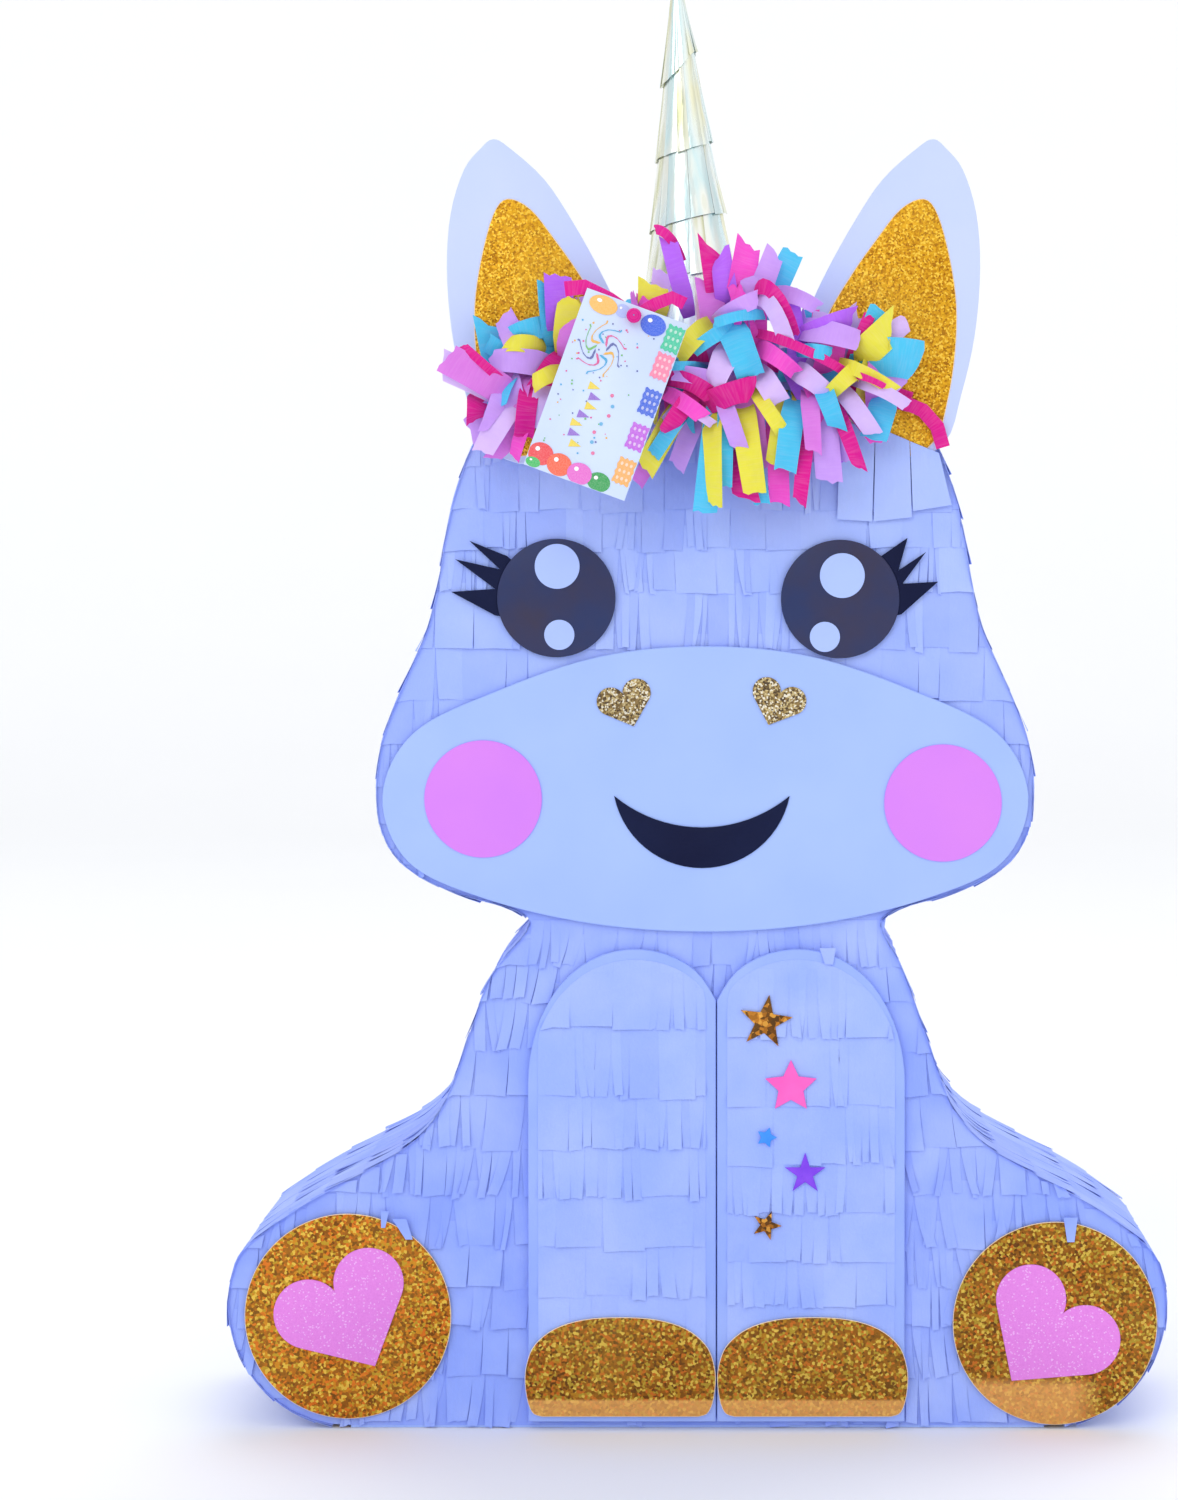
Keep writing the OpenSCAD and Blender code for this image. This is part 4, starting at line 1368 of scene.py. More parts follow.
@dataclass
class EdgeFringe:
    """Rows of tabs over the bent bands, hanging down the profile on each side."""

    box: Box
    finishes: Finishes
    pitch: float = 22 * MM
    overlap: float = 8 * MM
    step: float = 3 * MM
    flatter: float = 0.6
    seeds: dict[str, int] = field(default_factory=lambda: {"head": 40, "leg": 30, "crown": 71})
    rope_clear: float = 13 * MM

    def build(self) -> None:
        """Builds the crown, the two sides of the head and the two legs."""
        for side, sign in (("right", 1), ("left", -1)):
            profile = self.descent(sign)
            for part in ("head", "leg"):
                node = f"{part}_tissue_{side}"
                low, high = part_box(node)
                heights = profile.line[:, 1]
                ends = np.flatnonzero((heights > low.z - 1 * MM) & (heights < high.z - 0.5 * MM))
                paper = Paper(f"{part}_edge_fringe_{side}", PAPER_THICKNESS)
                self.cover(paper, profile, ends[0], ends[-1], self.seeds[part] + sign)
                place(paper.build(self.finishes.tissue), Body.SHELL, "fringed_tissue", [node])
        self.crown()

    def descent(self, sign: int) -> Profile:
        """Even points down one side of the profile, from the crown to the floor.

        Args:
            sign: 1 for the right side, -1 for the left.

        Returns:
            That side of the profile.
        """
        loop = self.box.front.points
        top = int(np.argmax(loop[:, 1] - abs(loop[:, 0]) * 0.01))
        order = np.roll(loop[::-1], top + 1, axis=0) if sign > 0 else np.roll(loop, -top, axis=0)
        floor = int(np.argmax(order[:, 1] < 1.5 * MM))
        line = order[:floor + 1]
        along = np.concatenate([[0], np.cumsum(np.linalg.norm(np.diff(line, axis=0), axis=1))])
        even = np.arange(0, along[-1], self.step)
        line = np.stack([np.interp(even, along, line[:, k]) for k in (0, 1)], 1)
        ahead = np.gradient(line, axis=0)
        normals = sign * np.stack([-ahead[:, 1], ahead[:, 0]], 1)
        normals /= np.linalg.norm(normals, axis=1, keepdims=True)
        return Profile(line, normals)

    def cover(self, paper: Paper, profile: Profile, first: int, last: int, seed: int,
              holes: Sequence[tuple[float, float]] = ()) -> None:
        """Adds the plain skin and the rows of tabs between two points of a profile.

        Args:
            paper: Their pile of paper.
            profile: The side of the box that they cover.
            first: The point that they start from.
            last: The point that they end at.
            seed: The seed of their random draws.
            holes: Where ropes come out, along X and Y.
        """
        front, back = self.box.skin_y, -self.box.skin_y
        # The skin under the tabs takes a tint of 0.9, which darkens it strongly towards the shadow colour: painted
        # shade in the gaps between the tabs.
        paper.grid([[profile.spot(i, y, 0.15 * MM) for y in np.linspace(front, back, 5)]
                    for i in range(first, last + 1)], 0.9)
        scissors = Scissors(seed, EDGE_CUT)
        per_row, lap = self.pitch / self.step, self.overlap / self.step
        row_count = int((last - first) / per_row) + 1
        for row in range(row_count, -1, -1):
            lower = first + row * per_row - lap
            end = min(lower + per_row + lap, last)
            start = max(lower, first)
            if end - start < 2:
                continue
            middle = profile.spot((lower + end) / 2, 0, 0)[0]
            for y0, y1 in scissors.widths(front, back):
                facts = scissors.shape(y1 - y0)
                if any(abs((y0 + y1) / 2 - y) < self.rope_clear and abs(middle - x) < self.rope_clear
                       for x, y in holes):
                    continue
                self.tab(paper, profile, scissors, (start, end), (y0, y1), facts)

    def tab(self, paper: Paper, profile: Profile, scissors: Scissors, run: tuple[float, float],
            sides: tuple[float, float], facts: dict[str, float]) -> None:
        """Adds one tab, which follows the bend of the band.

        Args:
            paper: Its pile of paper.
            profile: The side of the box that it covers.
            scissors: What cut it.
            run: Where it starts and ends down the profile, counted in points.
            sides: Where its two sides lie along Y.
            facts: How it lifts, curls, leans and ends.
        """
        (start, end), (y0, y1) = run, sides
        length = end + facts["drop"] / self.step * self.flatter - start
        rows = []
        for t in np.linspace(0, 1, 6):
            rise = 0.3 * MM + facts["lift"] * t ** EDGE_CUT.power
            slit = facts["slit"] * scissors.opened(t)
            curl = facts["curl"] * t ** 3 * self.flatter
            rows.append([profile.spot(start + length * t, y0 + slit / 2 + (y1 - y0 - slit) * s,
                                      rise + curl * (2 * s - 1)) for s in (0, 0.5, 1)])
        paper.grid(rows, facts["tint"])

    def crown(self) -> None:
        """Covers the crown from ear to ear, with the holes for the rope left open."""
        paper = Paper("crown_edge_fringe", PAPER_THICKNESS)
        holes = [tuple(m["pos_m"][:2]) for m in frame["record"]["mounts"] if m["kind"] == "bore"]
        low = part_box("crown_tissue")[0].z
        for sign in (1, -1):
            profile = self.descent(sign)
            last = int(np.argmax(profile.line[:, 1] < low + 1 * MM))
            self.cover(paper, profile, 0, last, self.seeds["crown"] + sign, holes)
        place(paper.build(self.finishes.tissue), Body.SHELL, "fringed_tissue", ["crown_tissue"])


# ------------------------ cards
@dataclass
class CardFace:
    """The flat card, glitter and vinyl pieces. The fields are the widths of their rounded edges."""

    finishes: Finishes
    thin: float = 0.15 * MM
    fine: float = 0.22 * MM
    foil: float = 0.3 * MM
    foam: float = 0.35 * MM
    rounded: float = 0.5 * MM
    rim: float = 0.55 * MM
    board: float = 0.7 * MM

    def build(self) -> None:
        """Builds each flat piece and hangs it on the shell."""
        f = self.finishes
        pieces = [
            ("muzzle", self.board, f.muzzle, None, "smooth_tissue"),
            ("mouth", self.fine, f.ink, None, "ink_card"),
            ("star_pink", self.foam, f.pink_foam, None, "star_pink_foam"),
            ("star_blue", self.foil, f.blue_foil, None, "star_blue_foil"),
            ("star_purple", self.foil, f.purple_foil, None, "star_purple_foil"),
            ("star_gold_large", self.fine, f.star_gold, None, "star_gold"),
            ("star_gold_small", self.fine, f.star_gold, None, "star_gold"),
        ]
        for side in SIDES:
            pieces += [
                ("ear_" + side, self.rounded, f.ear, None, "ear_card"),
                ("inner_ear_" + side, self.rim, f.fine_gold, f.cream, "fine_gold_glitter"),
                ("cheek_" + side, self.fine, f.cheek, None, "cheek_card"),
                ("nostril_" + side, self.foil, f.champagne, None, "champagne_glitter"),
                ("eye_" + side, self.foil, f.eye, None, "eye_vinyl"),
                ("eye_shine_" + side, self.thin, f.shine, None, "shine_vinyl"),
                ("lashes_" + side, self.thin, f.ink, None, "ink_card"),
                ("foreleg_" + side, self.board, f.foreleg, None, "smooth_tissue"),
                ("hoof_" + side, self.foil, f.hoof_mosaic, f.cream, "mosaic_gold_foil"),
                ("foot_pad_" + side, self.foil, {"left": f.mosaic, "right": f.foot_mosaic}[side], f.cream,
                 "mosaic_gold_foil"),
                ("foot_heart_" + side, self.fine, f.heart, None, "heart_glitter"),
            ]
        for node, rounding, finish, edge, slot in pieces:
            piece = softened(node, node + "_sheet", rounding, finish, edge)
            place(piece, Body.SHELL, slot, [node])


# ------------------------ horn
@dataclass
class Horn:
    """Foil bands wound round a leaning paper cone, slit into strips that spring open a little."""

    finishes: Finishes
    lean: float = math.radians(2.8)
    foot: Vector = field(default_factory=lambda: Vector((-6 * MM, -12 * MM, 0)))
    height: float = 169 * MM
    foot_r: float = 25 * MM
    tip_r: float = 3 * MM
    edges: tuple[float, ...] = (0.0, 0.18, 0.34, 0.55, 0.795, 1.0)
    rises: tuple[float, ...] = (2, 5, 8, 8, 17, 0)
    lap: float = 4 * MM
    clear: float = 0.5 * MM
    bulge: float = 0.5 * MM
    uneven: float = 0.8 * MM
    flare: tuple[float, float] = (0.5 * MM, 1.9 * MM)
    strip_widths: tuple[int, ...] = (3, 4, 5, 6, 8)
    slit_share: float = 0.015
    around: int = 72
    down: int = 9
    cap_rings: tuple[tuple[float, float], ...] = (
        (0.90, 0.9), (0.96, 0.9), (0.99, 0.75), (1.0, 0.45), (1.004, 0.05))
    cap_from: float = 0.98
    seed: int = 5

    def build(self) -> None:
        """Builds the bands and the tip."""
        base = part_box("horn_foil")[0].z + self.foot_r * math.sin(self.lean)
        self.turn = Matrix.Translation((self.foot.x, self.foot.y, base)) @ Matrix.Rotation(-self.lean, 4, "Y")
        self.paper = Paper("horn_foil_bands", 0.22 * MM)
        self.chance = random.Random(self.seed)
        for band in range(len(self.edges) - 1):
            self.band(band)
        self.cap()
        place(self.paper.build(self.finishes.foil, 30), Body.SHELL, "horn_foil", ["horn_foil"])

    def radius(self, share: float) -> float:
        """The cone's radius at a share of its height."""
        return self.foot_r + (self.tip_r - self.foot_r) * share

    def edge(self, band: int, side: float) -> float:
        """The height of a band's lower edge, which rises towards the right, where side is 1."""
        return self.edges[band] * self.height + self.rises[band] * MM * side / 2

    def band(self, band: int) -> None:
        """Adds one band as strips between slits.

        Args:
            band: The band's number from the foot up.
        """
        chance, column = self.chance, 0
        while column < self.around:
            wide = min(chance.choice(self.strip_widths), self.around - column)
            flare = chance.uniform(*self.flare)
            drop = chance.uniform(-self.uneven, self.uneven)
            # Painted reflection and shade by side: strips that face the horn's left get a low tint, which the foil
            # turns dark olive, and strips that face its right get a high tint, which it turns pale.
            facing = math.cos(2 * math.pi * (column + wide / 2) / self.around)
            tint = min(1.0, max(0.0, 0.5 + 0.55 * facing + chance.uniform(-0.3, 0.3)))
            rows = []
            for r in range(self.down):
                t = r / (self.down - 1)
                row = []
                for c in range(wide + 1):
                    angle = 2 * math.pi * (column + c * (1 - self.slit_share)) / self.around
                    side = math.cos(angle)
                    low = self.edge(band, side)
                    high = self.edge(band + 1, side) + self.lap
                    z = high + (low + drop * t - high) * t
                    z = min(max(z, 0.3 * MM), self.height)
                    bulge = self.bulge * math.sin(math.pi * c / wide)
                    r_at = self.radius(z / self.height) + self.clear + flare * t ** 2 + bulge * t
                    row.append(self.turn @ Vector((r_at * side, r_at * math.sin(angle), z)))
                rows.append(row)
            self.paper.grid(rows, tint)
            column += wide

    def cap(self) -> None:
        """Closes the tip with a small folded cap."""
        rows = []
        for share, lift in self.cap_rings:
            r_at = self.radius(min(share, 1.0)) * (1 if share < self.cap_from else lift) + 0.7 * MM * lift
            rows.append([self.turn @ Vector((r_at * math.cos(a), r_at * math.sin(a), share * self.height))
                         for a in np.linspace(0, 2 * math.pi, 25)])
        self.paper.grid(rows, 0.5)


# ------------------------ mane
@dataclass(frozen=True)
class Strip:
    """One crepe strip: where it shows from and where it ends in the X-Z plane, and how far it stands out.

    All lengths are in millimetres. The end's cut is its slope across the strip.
    """

    root: tuple[float, float]
    tip: tuple[float, float]
    width: float
    paper: Crepe
    depth: float = 22
    sag: float = 0
    cut: float | None = None


def bezier(spots: Sequence[Vector], t: float) -> tuple[Vector, Vector]:
    """A place on a cubic curve.

    Args:
        spots: The curve's four control points.
        t: The share of the way along it, from 0 to 1.

    Returns:
        The point there and the curve's direction.
    """
    weights = ((1 - t) ** 3, 3 * t * (1 - t) ** 2, 3 * t * t * (1 - t), t ** 3)
    slopes = (-3 * (1 - t) ** 2, 3 * (1 - t) * (1 - 3 * t), 3 * t * (2 - 3 * t), 3 * t * t)
    spot = sum((s * w for s, w in zip(spots, weights)), Vector())
    ahead = sum((s * w for s, w in zip(spots, slopes)), Vector())
    return spot, ahead.normalized()


@dataclass
class Mane:
    """Tufts of crepe strips tied along a ribbon, standing up behind and hanging as a fringe in front."""

    finishes: Finishes
    seed: int = 4
    spine: tuple[tuple[float, float], ...] = (
        (-104, 508), (-88, 518), (-60, 528), (-25, 532), (15, 530), (50, 522), (80, 512), (100, 506))
    upright: tuple[Strip, ...] = (
        Strip((-9, 552), (-17.5, 583), 10, Crepe.PURPLE, 24, -1, 0.7),
        Strip((-14, 578), (-24, 588), 4.5, Crepe.MAGENTA, 26, 4),
        Strip((6, 553), (2, 581), 10, Crepe.MAGENTA, 18, -1, 1.1),
        Strip((11, 553), (7.5, 576), 12, Crepe.PURPLE, 22, -1, -1.0),
        Strip((16, 553), (21, 582), 14, Crepe.PINK, 22, -1, 0.3),
        Strip((24, 552), (33.5, 577), 13, Crepe.LAVENDER, 20, 0, 0.6),
        Strip((30, 552), (42.5, 578), 13, Crepe.TURQUOISE, 16, 0, -0.1),
        Strip((-22, 552), (-21, 569), 13, Crepe.LILAC, 14, 0, 0.1),
        Strip((-25, 548), (-25, 562), 15, Crepe.YELLOW, 18, 0, 0.6),
        Strip((-69, 537), (-71, 566), 15.5, Crepe.PURPLE, 20, 0, 0.2),
        Strip((-72, 535), (-76, 563), 14, Crepe.TURQUOISE, 17, 0, 0.0),
    )
    left: tuple[Strip, ...] = (
        Strip((-76, 540), (-96, 536), 12, Crepe.TURQUOISE, 20, 3, 0.3),
        Strip((-80, 531), (-96, 533), 9, Crepe.YELLOW, 24, 2, 0.2),
        Strip((-90, 522), (-105, 534), 11, Crepe.TURQUOISE, 18, 1, -0.1),
        Strip((-76, 522), (-104, 525), 14, Crepe.LAVENDER, 26, 2, 0.3),
        Strip((-74, 530), (-92, 528), 12, Crepe.TURQUOISE, 15, 2, 0.3),
        Strip((-92, 507), (-124, 526), 15, Crepe.ORCHID, 28, 1, 0.3),
        Strip((-96, 509), (-125.5, 523), 14, Crepe.LILAC, 25, 0, -0.4),
        Strip((-95, 513), (-116, 532), 5, Crepe.MAGENTA, 31, 0, 0.7),
        Strip((-88.5, 512), (-107, 481), 16, Crepe.LILAC, 24, 2, -0.2),
        Strip((-92, 508), (-114, 490), 14, Crepe.LAVENDER, 18, 1, 0.4),
        Strip((-84, 514), (-87, 488), 9.5, Crepe.MAGENTA, 30, 1, 0.3),
        Strip((-86, 494), (-103, 478), 10, Crepe.ORCHID, 20, 1, -0.6),
        Strip((-86, 498), (-92, 478), 8, Crepe.PINK, 26, 1, 0.2),
        Strip((-76, 514), (-80, 492), 12, Crepe.LILAC, 27, 1, 0.2),
        Strip((-70, 519), (-82, 514), 9, Crepe.YELLOW, 33, 1, 0.1),
        Strip((-70, 526), (-84, 506), 12, Crepe.MAGENTA, 22, 1, 0.2),
        Strip((-84, 526), (-98, 516), 10, Crepe.PURPLE, 16, 2, 0.3),
    )
    knot: tuple[Strip, ...] = (
        Strip((3, 542), (-14, 526), 10, Crepe.YELLOW, 35, 2, 0.2),
        Strip((17, 542), (-6, 529), 8, Crepe.TURQUOISE, 36, 2, 0.1),
        Strip((12, 541), (22, 517), 16, Crepe.TURQUOISE, 37.5, 2, 0.15),
        Strip((12, 531), (3.5, 512), 15, Crepe.LILAC, 38.5, 0, -0.15),
        Strip((-3, 522), (-17, 522), 5.5, Crepe.TURQUOISE, 34, 0, 0.0),
        Strip((6, 544), (25, 554), 8, Crepe.LAVENDER, 36, 1, 0.4),
        Strip((14, 513), (-15, 519), 9, Crepe.LAVENDER, 33, 1, 0.3),
        Strip((27, 546), (4, 542), 6, Crepe.TURQUOISE, 38, 2, 0.6),
        Strip((24, 548), (42.5, 536), 8, Crepe.MAGENTA, 37, 20, -0.4),
        Strip((24, 546), (40, 530), 9, Crepe.LILAC, 34, 17, 0.2),
        Strip((34, 556), (54, 550), 9, Crepe.LAVENDER, 30, 3, 0.2),
        Strip((46, 540), (74, 534), 15, Crepe.LAVENDER, 34, 1, 0.1),
        Strip((46, 536), (71, 546), 11, Crepe.PURPLE, 30, 1, 0.4),
        Strip((26, 531), (44, 518.5), 10, Crepe.PINK, 36, 1, 0.2),
        Strip((25, 537), (67, 519.5), 5.5, Crepe.MAGENTA, 38, 3, 0.3),
        Strip((46, 529), (60, 527.5), 6.5, Crepe.TURQUOISE, 37, 1, 0.0),
        Strip((75, 522), (60, 509), 10, Crepe.YELLOW, 34, 1, 0.4),
        Strip((64, 523), (91.5, 510), 7, Crepe.YELLOW, 36, 2, 0.5),
        Strip((70, 518), (86, 512), 4, Crepe.MAGENTA, 37, 1, 0.2),
        Strip((74, 514), (97, 503), 7, Crepe.LILAC, 34, 2, 0.4),
        Strip((44, 520), (60, 508), 12, Crepe.LILAC, 33, 1, 0.3),
        Strip((26, 520), (36, 504), 11, Crepe.LILAC, 34, 0, 0.2),
        Strip((-18, 514), (4, 507), 9, Crepe.MAGENTA, 34, 5, 0.2),
        Strip((1, 503), (23, 511), 12, Crepe.MAGENTA, 37, 2, 0.3),
        Strip((-20, 509), (-1, 497.5), 7.5, Crepe.PINK, 36, 2, 0.4),
        Strip((-16, 506), (4, 494), 6, Crepe.LILAC, 33, 1, 0.3),
    )
    right: tuple[Strip, ...] = (
        Strip((74, 526), (84, 549.5), 11, Crepe.TURQUOISE, 26, 0, 0.2),
        Strip((71, 528), (79, 546.5), 6, Crepe.MAGENTA, 28, 0, 0.3),
        Strip((80, 530), (97, 543.5), 13, Crepe.LILAC, 24, 1, 0.4),
        Strip((75, 527), (89, 540), 15, Crepe.YELLOW, 32, 0, 1.2),
        Strip((74, 524), (102, 525), 19, Crepe.TURQUOISE, 28, 3, 0.1),
        Strip((76, 520), (96, 514), 11, Crepe.LAVENDER, 22, 1, 0.3),
        Strip((62, 536), (74, 548), 11, Crepe.LILAC, 22, 1, 0.3),
    )
    bangs: tuple[Strip, ...] = (
        Strip((3, 504), (4.5, 455.5), 12, Crepe.YELLOW, 34, 0, 0.1),
        Strip((6, 508), (0, 452.5), 11, Crepe.TURQUOISE, 28, 0, 0.0),
        Strip((10, 508), (9.5, 465), 9, Crepe.TURQUOISE, 31, 0, 0.3),
        Strip((8, 508), (17, 482), 9, Crepe.LAVENDER, 36, 0, 0.8),
        Strip((17, 508), (24, 461), 14, Crepe.YELLOW, 33, 0, 0.1),
        Strip((19, 505), (27.5, 456), 8, Crepe.TURQUOISE, 27, 0, 0.0),
        Strip((11, 500), (20, 458.5), 12, Crepe.MAGENTA, 24, 0, 0.5),
        Strip((23, 512), (39.5, 487), 7, Crepe.YELLOW, 37, 0, 0.6),
        Strip((43, 506), (38.5, 472), 11, Crepe.TURQUOISE, 34, 0, 0.2),
        Strip((40, 506), (35, 474), 13, Crepe.YELLOW, 30, 0, 0.3),
        Strip((34, 500), (36, 456), 11, Crepe.PINK, 25, 0, 0.3),
        Strip((50, 500), (45.5, 457), 9, Crepe.MAGENTA, 27, 0, 0.7),
        Strip((50, 510), (52, 481), 10, Crepe.ORCHID, 35, 0, 0.5),
        Strip((56, 513), (63.5, 492), 10, Crepe.TURQUOISE, 37, 0, 0.6),
        Strip((61, 508), (74.5, 473), 9, Crepe.MAGENTA, 30, 0, 0.9),
        Strip((56, 508), (60, 467), 13, Crepe.LAVENDER, 26, 0, 0.3),
        Strip((66, 511), (81, 490), 10, Crepe.LILAC, 32, 0, 0.5),
        Strip((62, 506), (68, 478), 11, Crepe.TURQUOISE, 22, 0, 0.4),
        Strip((-8, 506), (-25, 488), 9, Crepe.LILAC, 32, 0, 0.3),
        Strip((-12, 503), (-29, 472.5), 12, Crepe.YELLOW, 30, 0, 0.5),
        Strip((-9, 503), (-25, 479), 9, Crepe.TURQUOISE, 34, 0, 0.3),
        Strip((-5, 510), (-19, 490), 10, Crepe.MAGENTA, 35, 0, 0.4),
        Strip((-14, 498), (-33, 466), 9, Crepe.ORCHID, 24, 0, 0.4),
        Strip((-3, 502), (-14, 474), 11, Crepe.LAVENDER, 20, 0, 0.4),
        Strip((70, 505), (84, 486), 10, Crepe.PINK, 22, 0, 0.5),
    )
    weights: tuple[tuple[Crepe, float], ...] = (
        (Crepe.PINK, 0.15), (Crepe.MAGENTA, 0.12), (Crepe.TURQUOISE, 0.15), (Crepe.YELLOW, 0.10),
        (Crepe.PURPLE, 0.10), (Crepe.LAVENDER, 0.14), (Crepe.LILAC, 0.12), (Crepe.ORCHID, 0.12))
    filler_count: int = 90
    torn: float = 0.08
    pointed_share: float = 0.2
    pointed_taper: float = 0.75
    gather: float = 0.6
    ripple: float = 0.4 * MM
    standing: float = 0.9
    ribbon_out: float = 1.5 * MM
    free_end: tuple[tuple[float, float, float], ...] = (
        (96, 5, 506), (106, 4, 502), (113, 2.5, 494), (116, 1.2, 484))
    fill_from: float = -112
    fill_to: float = 90
    steps: int = 10
    columns: int = 5

    def build(self) -> None:
        """Builds the tufts and their ribbon."""
        self.chance = random.Random(self.seed)
        self.paper = Paper("mane_strips", 0.2 * MM)
        self.back_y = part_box("mane_middle")[1].y
        for strip in self.filler():
            self.strip(strip)
        for strip in self.upright + self.left + self.knot + self.right + self.bangs:
            self.strip(strip)
        piece = self.paper.build(self.finishes.crepe, 60)
        place(piece, Body.SHELL, "crepe_mane", ["mane_left", "mane_middle", "mane_right"])
        self.ribbon()

    def pick(self) -> Crepe:
        """A paper by its share of the mane."""
        return self.chance.choices([c for c, _ in self.weights], [w for _, w in self.weights])[0]

    def filler(self) -> list[Strip]:
        """Makes the strips behind, from the ribbon part of the way to the mane's own outline.

        Returns:
            The strips.
        """
        chance = self.chance
        rim: list[tuple[float, float]] = []
        for node in ("mane_left", "mane_middle", "mane_right"):
            outline = face_outlines(node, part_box(node)[0].y)[0]
            rim += [tuple(p / MM) for p in outline.grown(-4 * MM).points]
        strips = []
        spine = np.array(self.spine, float)
        rim = [spot for spot in rim if self.fill_from < spot[0] < self.fill_to]
        for _ in range(self.filler_count):
            target = np.array(rim[chance.randrange(len(rim))])
            near = spine[np.argmin(np.abs(spine[:, 0] - target[0] * 0.88))]
            root = near + np.array([chance.uniform(-10, 10), chance.uniform(-5, 5)])
            tip = root + (target - root) * chance.uniform(0.45, 0.86)
            strips.append(Strip(tuple(root), tuple(tip), chance.uniform(9, 16), self.pick(),
                                chance.uniform(8, 26), chance.uniform(-1, 4)))
        return strips

    def route(self, strip: Strip) -> tuple[list[Vector], Vector]:
        """The curve that a strip follows: up from the ribbon, out over the others and down to its end.

        Args:
            strip: The strip.

        Returns:
            The curve's four control points, and the strip's direction as seen from the front.
        """
        y, depth = self.back_y, strip.depth * self.standing * MM
        start = Vector((strip.root[0], 0, strip.root[1])) * MM
        tip = Vector((strip.tip[0], 0, strip.tip[1])) * MM
        along = (tip - start).normalized()
        rise = Vector((0, 0, strip.sag * MM))
        spots = [start - along * 5 * MM + Vector((0, y - 2 * MM, 0)),
                 start + Vector((0, y - depth, 0)) + rise,
                 start.lerp(tip, 0.6) + Vector((0, y - depth * 1.04, 0)) + rise,
                 tip + Vector((0, y - depth * self.chance.uniform(0.72, 0.92), 0))]
        return spots, along

    def strip(self, strip: Strip) -> None:
        """Adds one strip, which ends in a torn cut.

        Args:
            strip: Where it runs.
        """
        chance = self.chance
        spots, along = self.route(strip)
        across = Vector((-along.z, chance.uniform(-0.4, 0.4), along.x)).normalized()
        twist, curl = chance.uniform(-0.45, 0.45), chance.uniform(-0.35, 0.5)
        cut = chance.uniform(-0.9, 0.9) if strip.cut is None else strip.cut
        wave, ragged = chance.uniform(0, 6.28), self.torn * strip.width
        pointed = strip.cut is None and chance.random() < self.pointed_share
        taper = self.pointed_taper if pointed else chance.uniform(-0.12, 0.28)
        rows = []
        for r in range(self.steps + 1):
            t = r / self.steps
            spot, ahead = bezier(spots, t)
            gathered = self.gather + (1 - self.gather) * min(1, t * 2.5)
            half = strip.width * MM / 2 * gathered * (1 - taper * t)
            side = (Matrix.Rotation(twist * t, 3, ahead) @ (across - ahead * across.dot(ahead))).normalized()
            lift = side.cross(ahead)
            row = []
            for c in range(self.columns + 1):
                s = 2 * c / self.columns - 1
                bend = curl * half * (1 - s * s) * 0.5 + self.ripple * math.sin(wave + 6 * t + 2 * s)
                end = Vector()
                if r == self.steps:
                    end = ahead * (cut * s * half + chance.uniform(-ragged, ragged) * MM)
                elif r == self.steps - 1:
                    end = ahead * cut * s * half * 0.5
                row.append(spot + side * half * s + lift * bend + end)
            rows.append(row)
        self.paper.grid(rows, chance.random(), strip.paper.value)

    def ribbon(self) -> None:
        """Builds the magenta ribbon along the roots, whose free end lies over the right ear's foot."""
        paper = Paper("mane_ribbon_crepe", 0.25 * MM)
        line = [Vector((x * MM, self.back_y - (self.ribbon_out if k else 0), z * MM))
                for k, (x, z) in enumerate(self.spine)]
        free = [Vector((x * MM, self.back_y - out * MM, z * MM)) for x, out, z in self.free_end]
        for path, half in ((line, 5 * MM), (free, 3.4 * MM)):
            paper.band(path, half, 0.9 * MM, 0.3, Crepe.MAGENTA.value, self.chance)
        piece = paper.build(self.finishes.crepe, 60)
        place(piece, Body.SHELL, "crepe_magenta", ["mane_ribbon"])


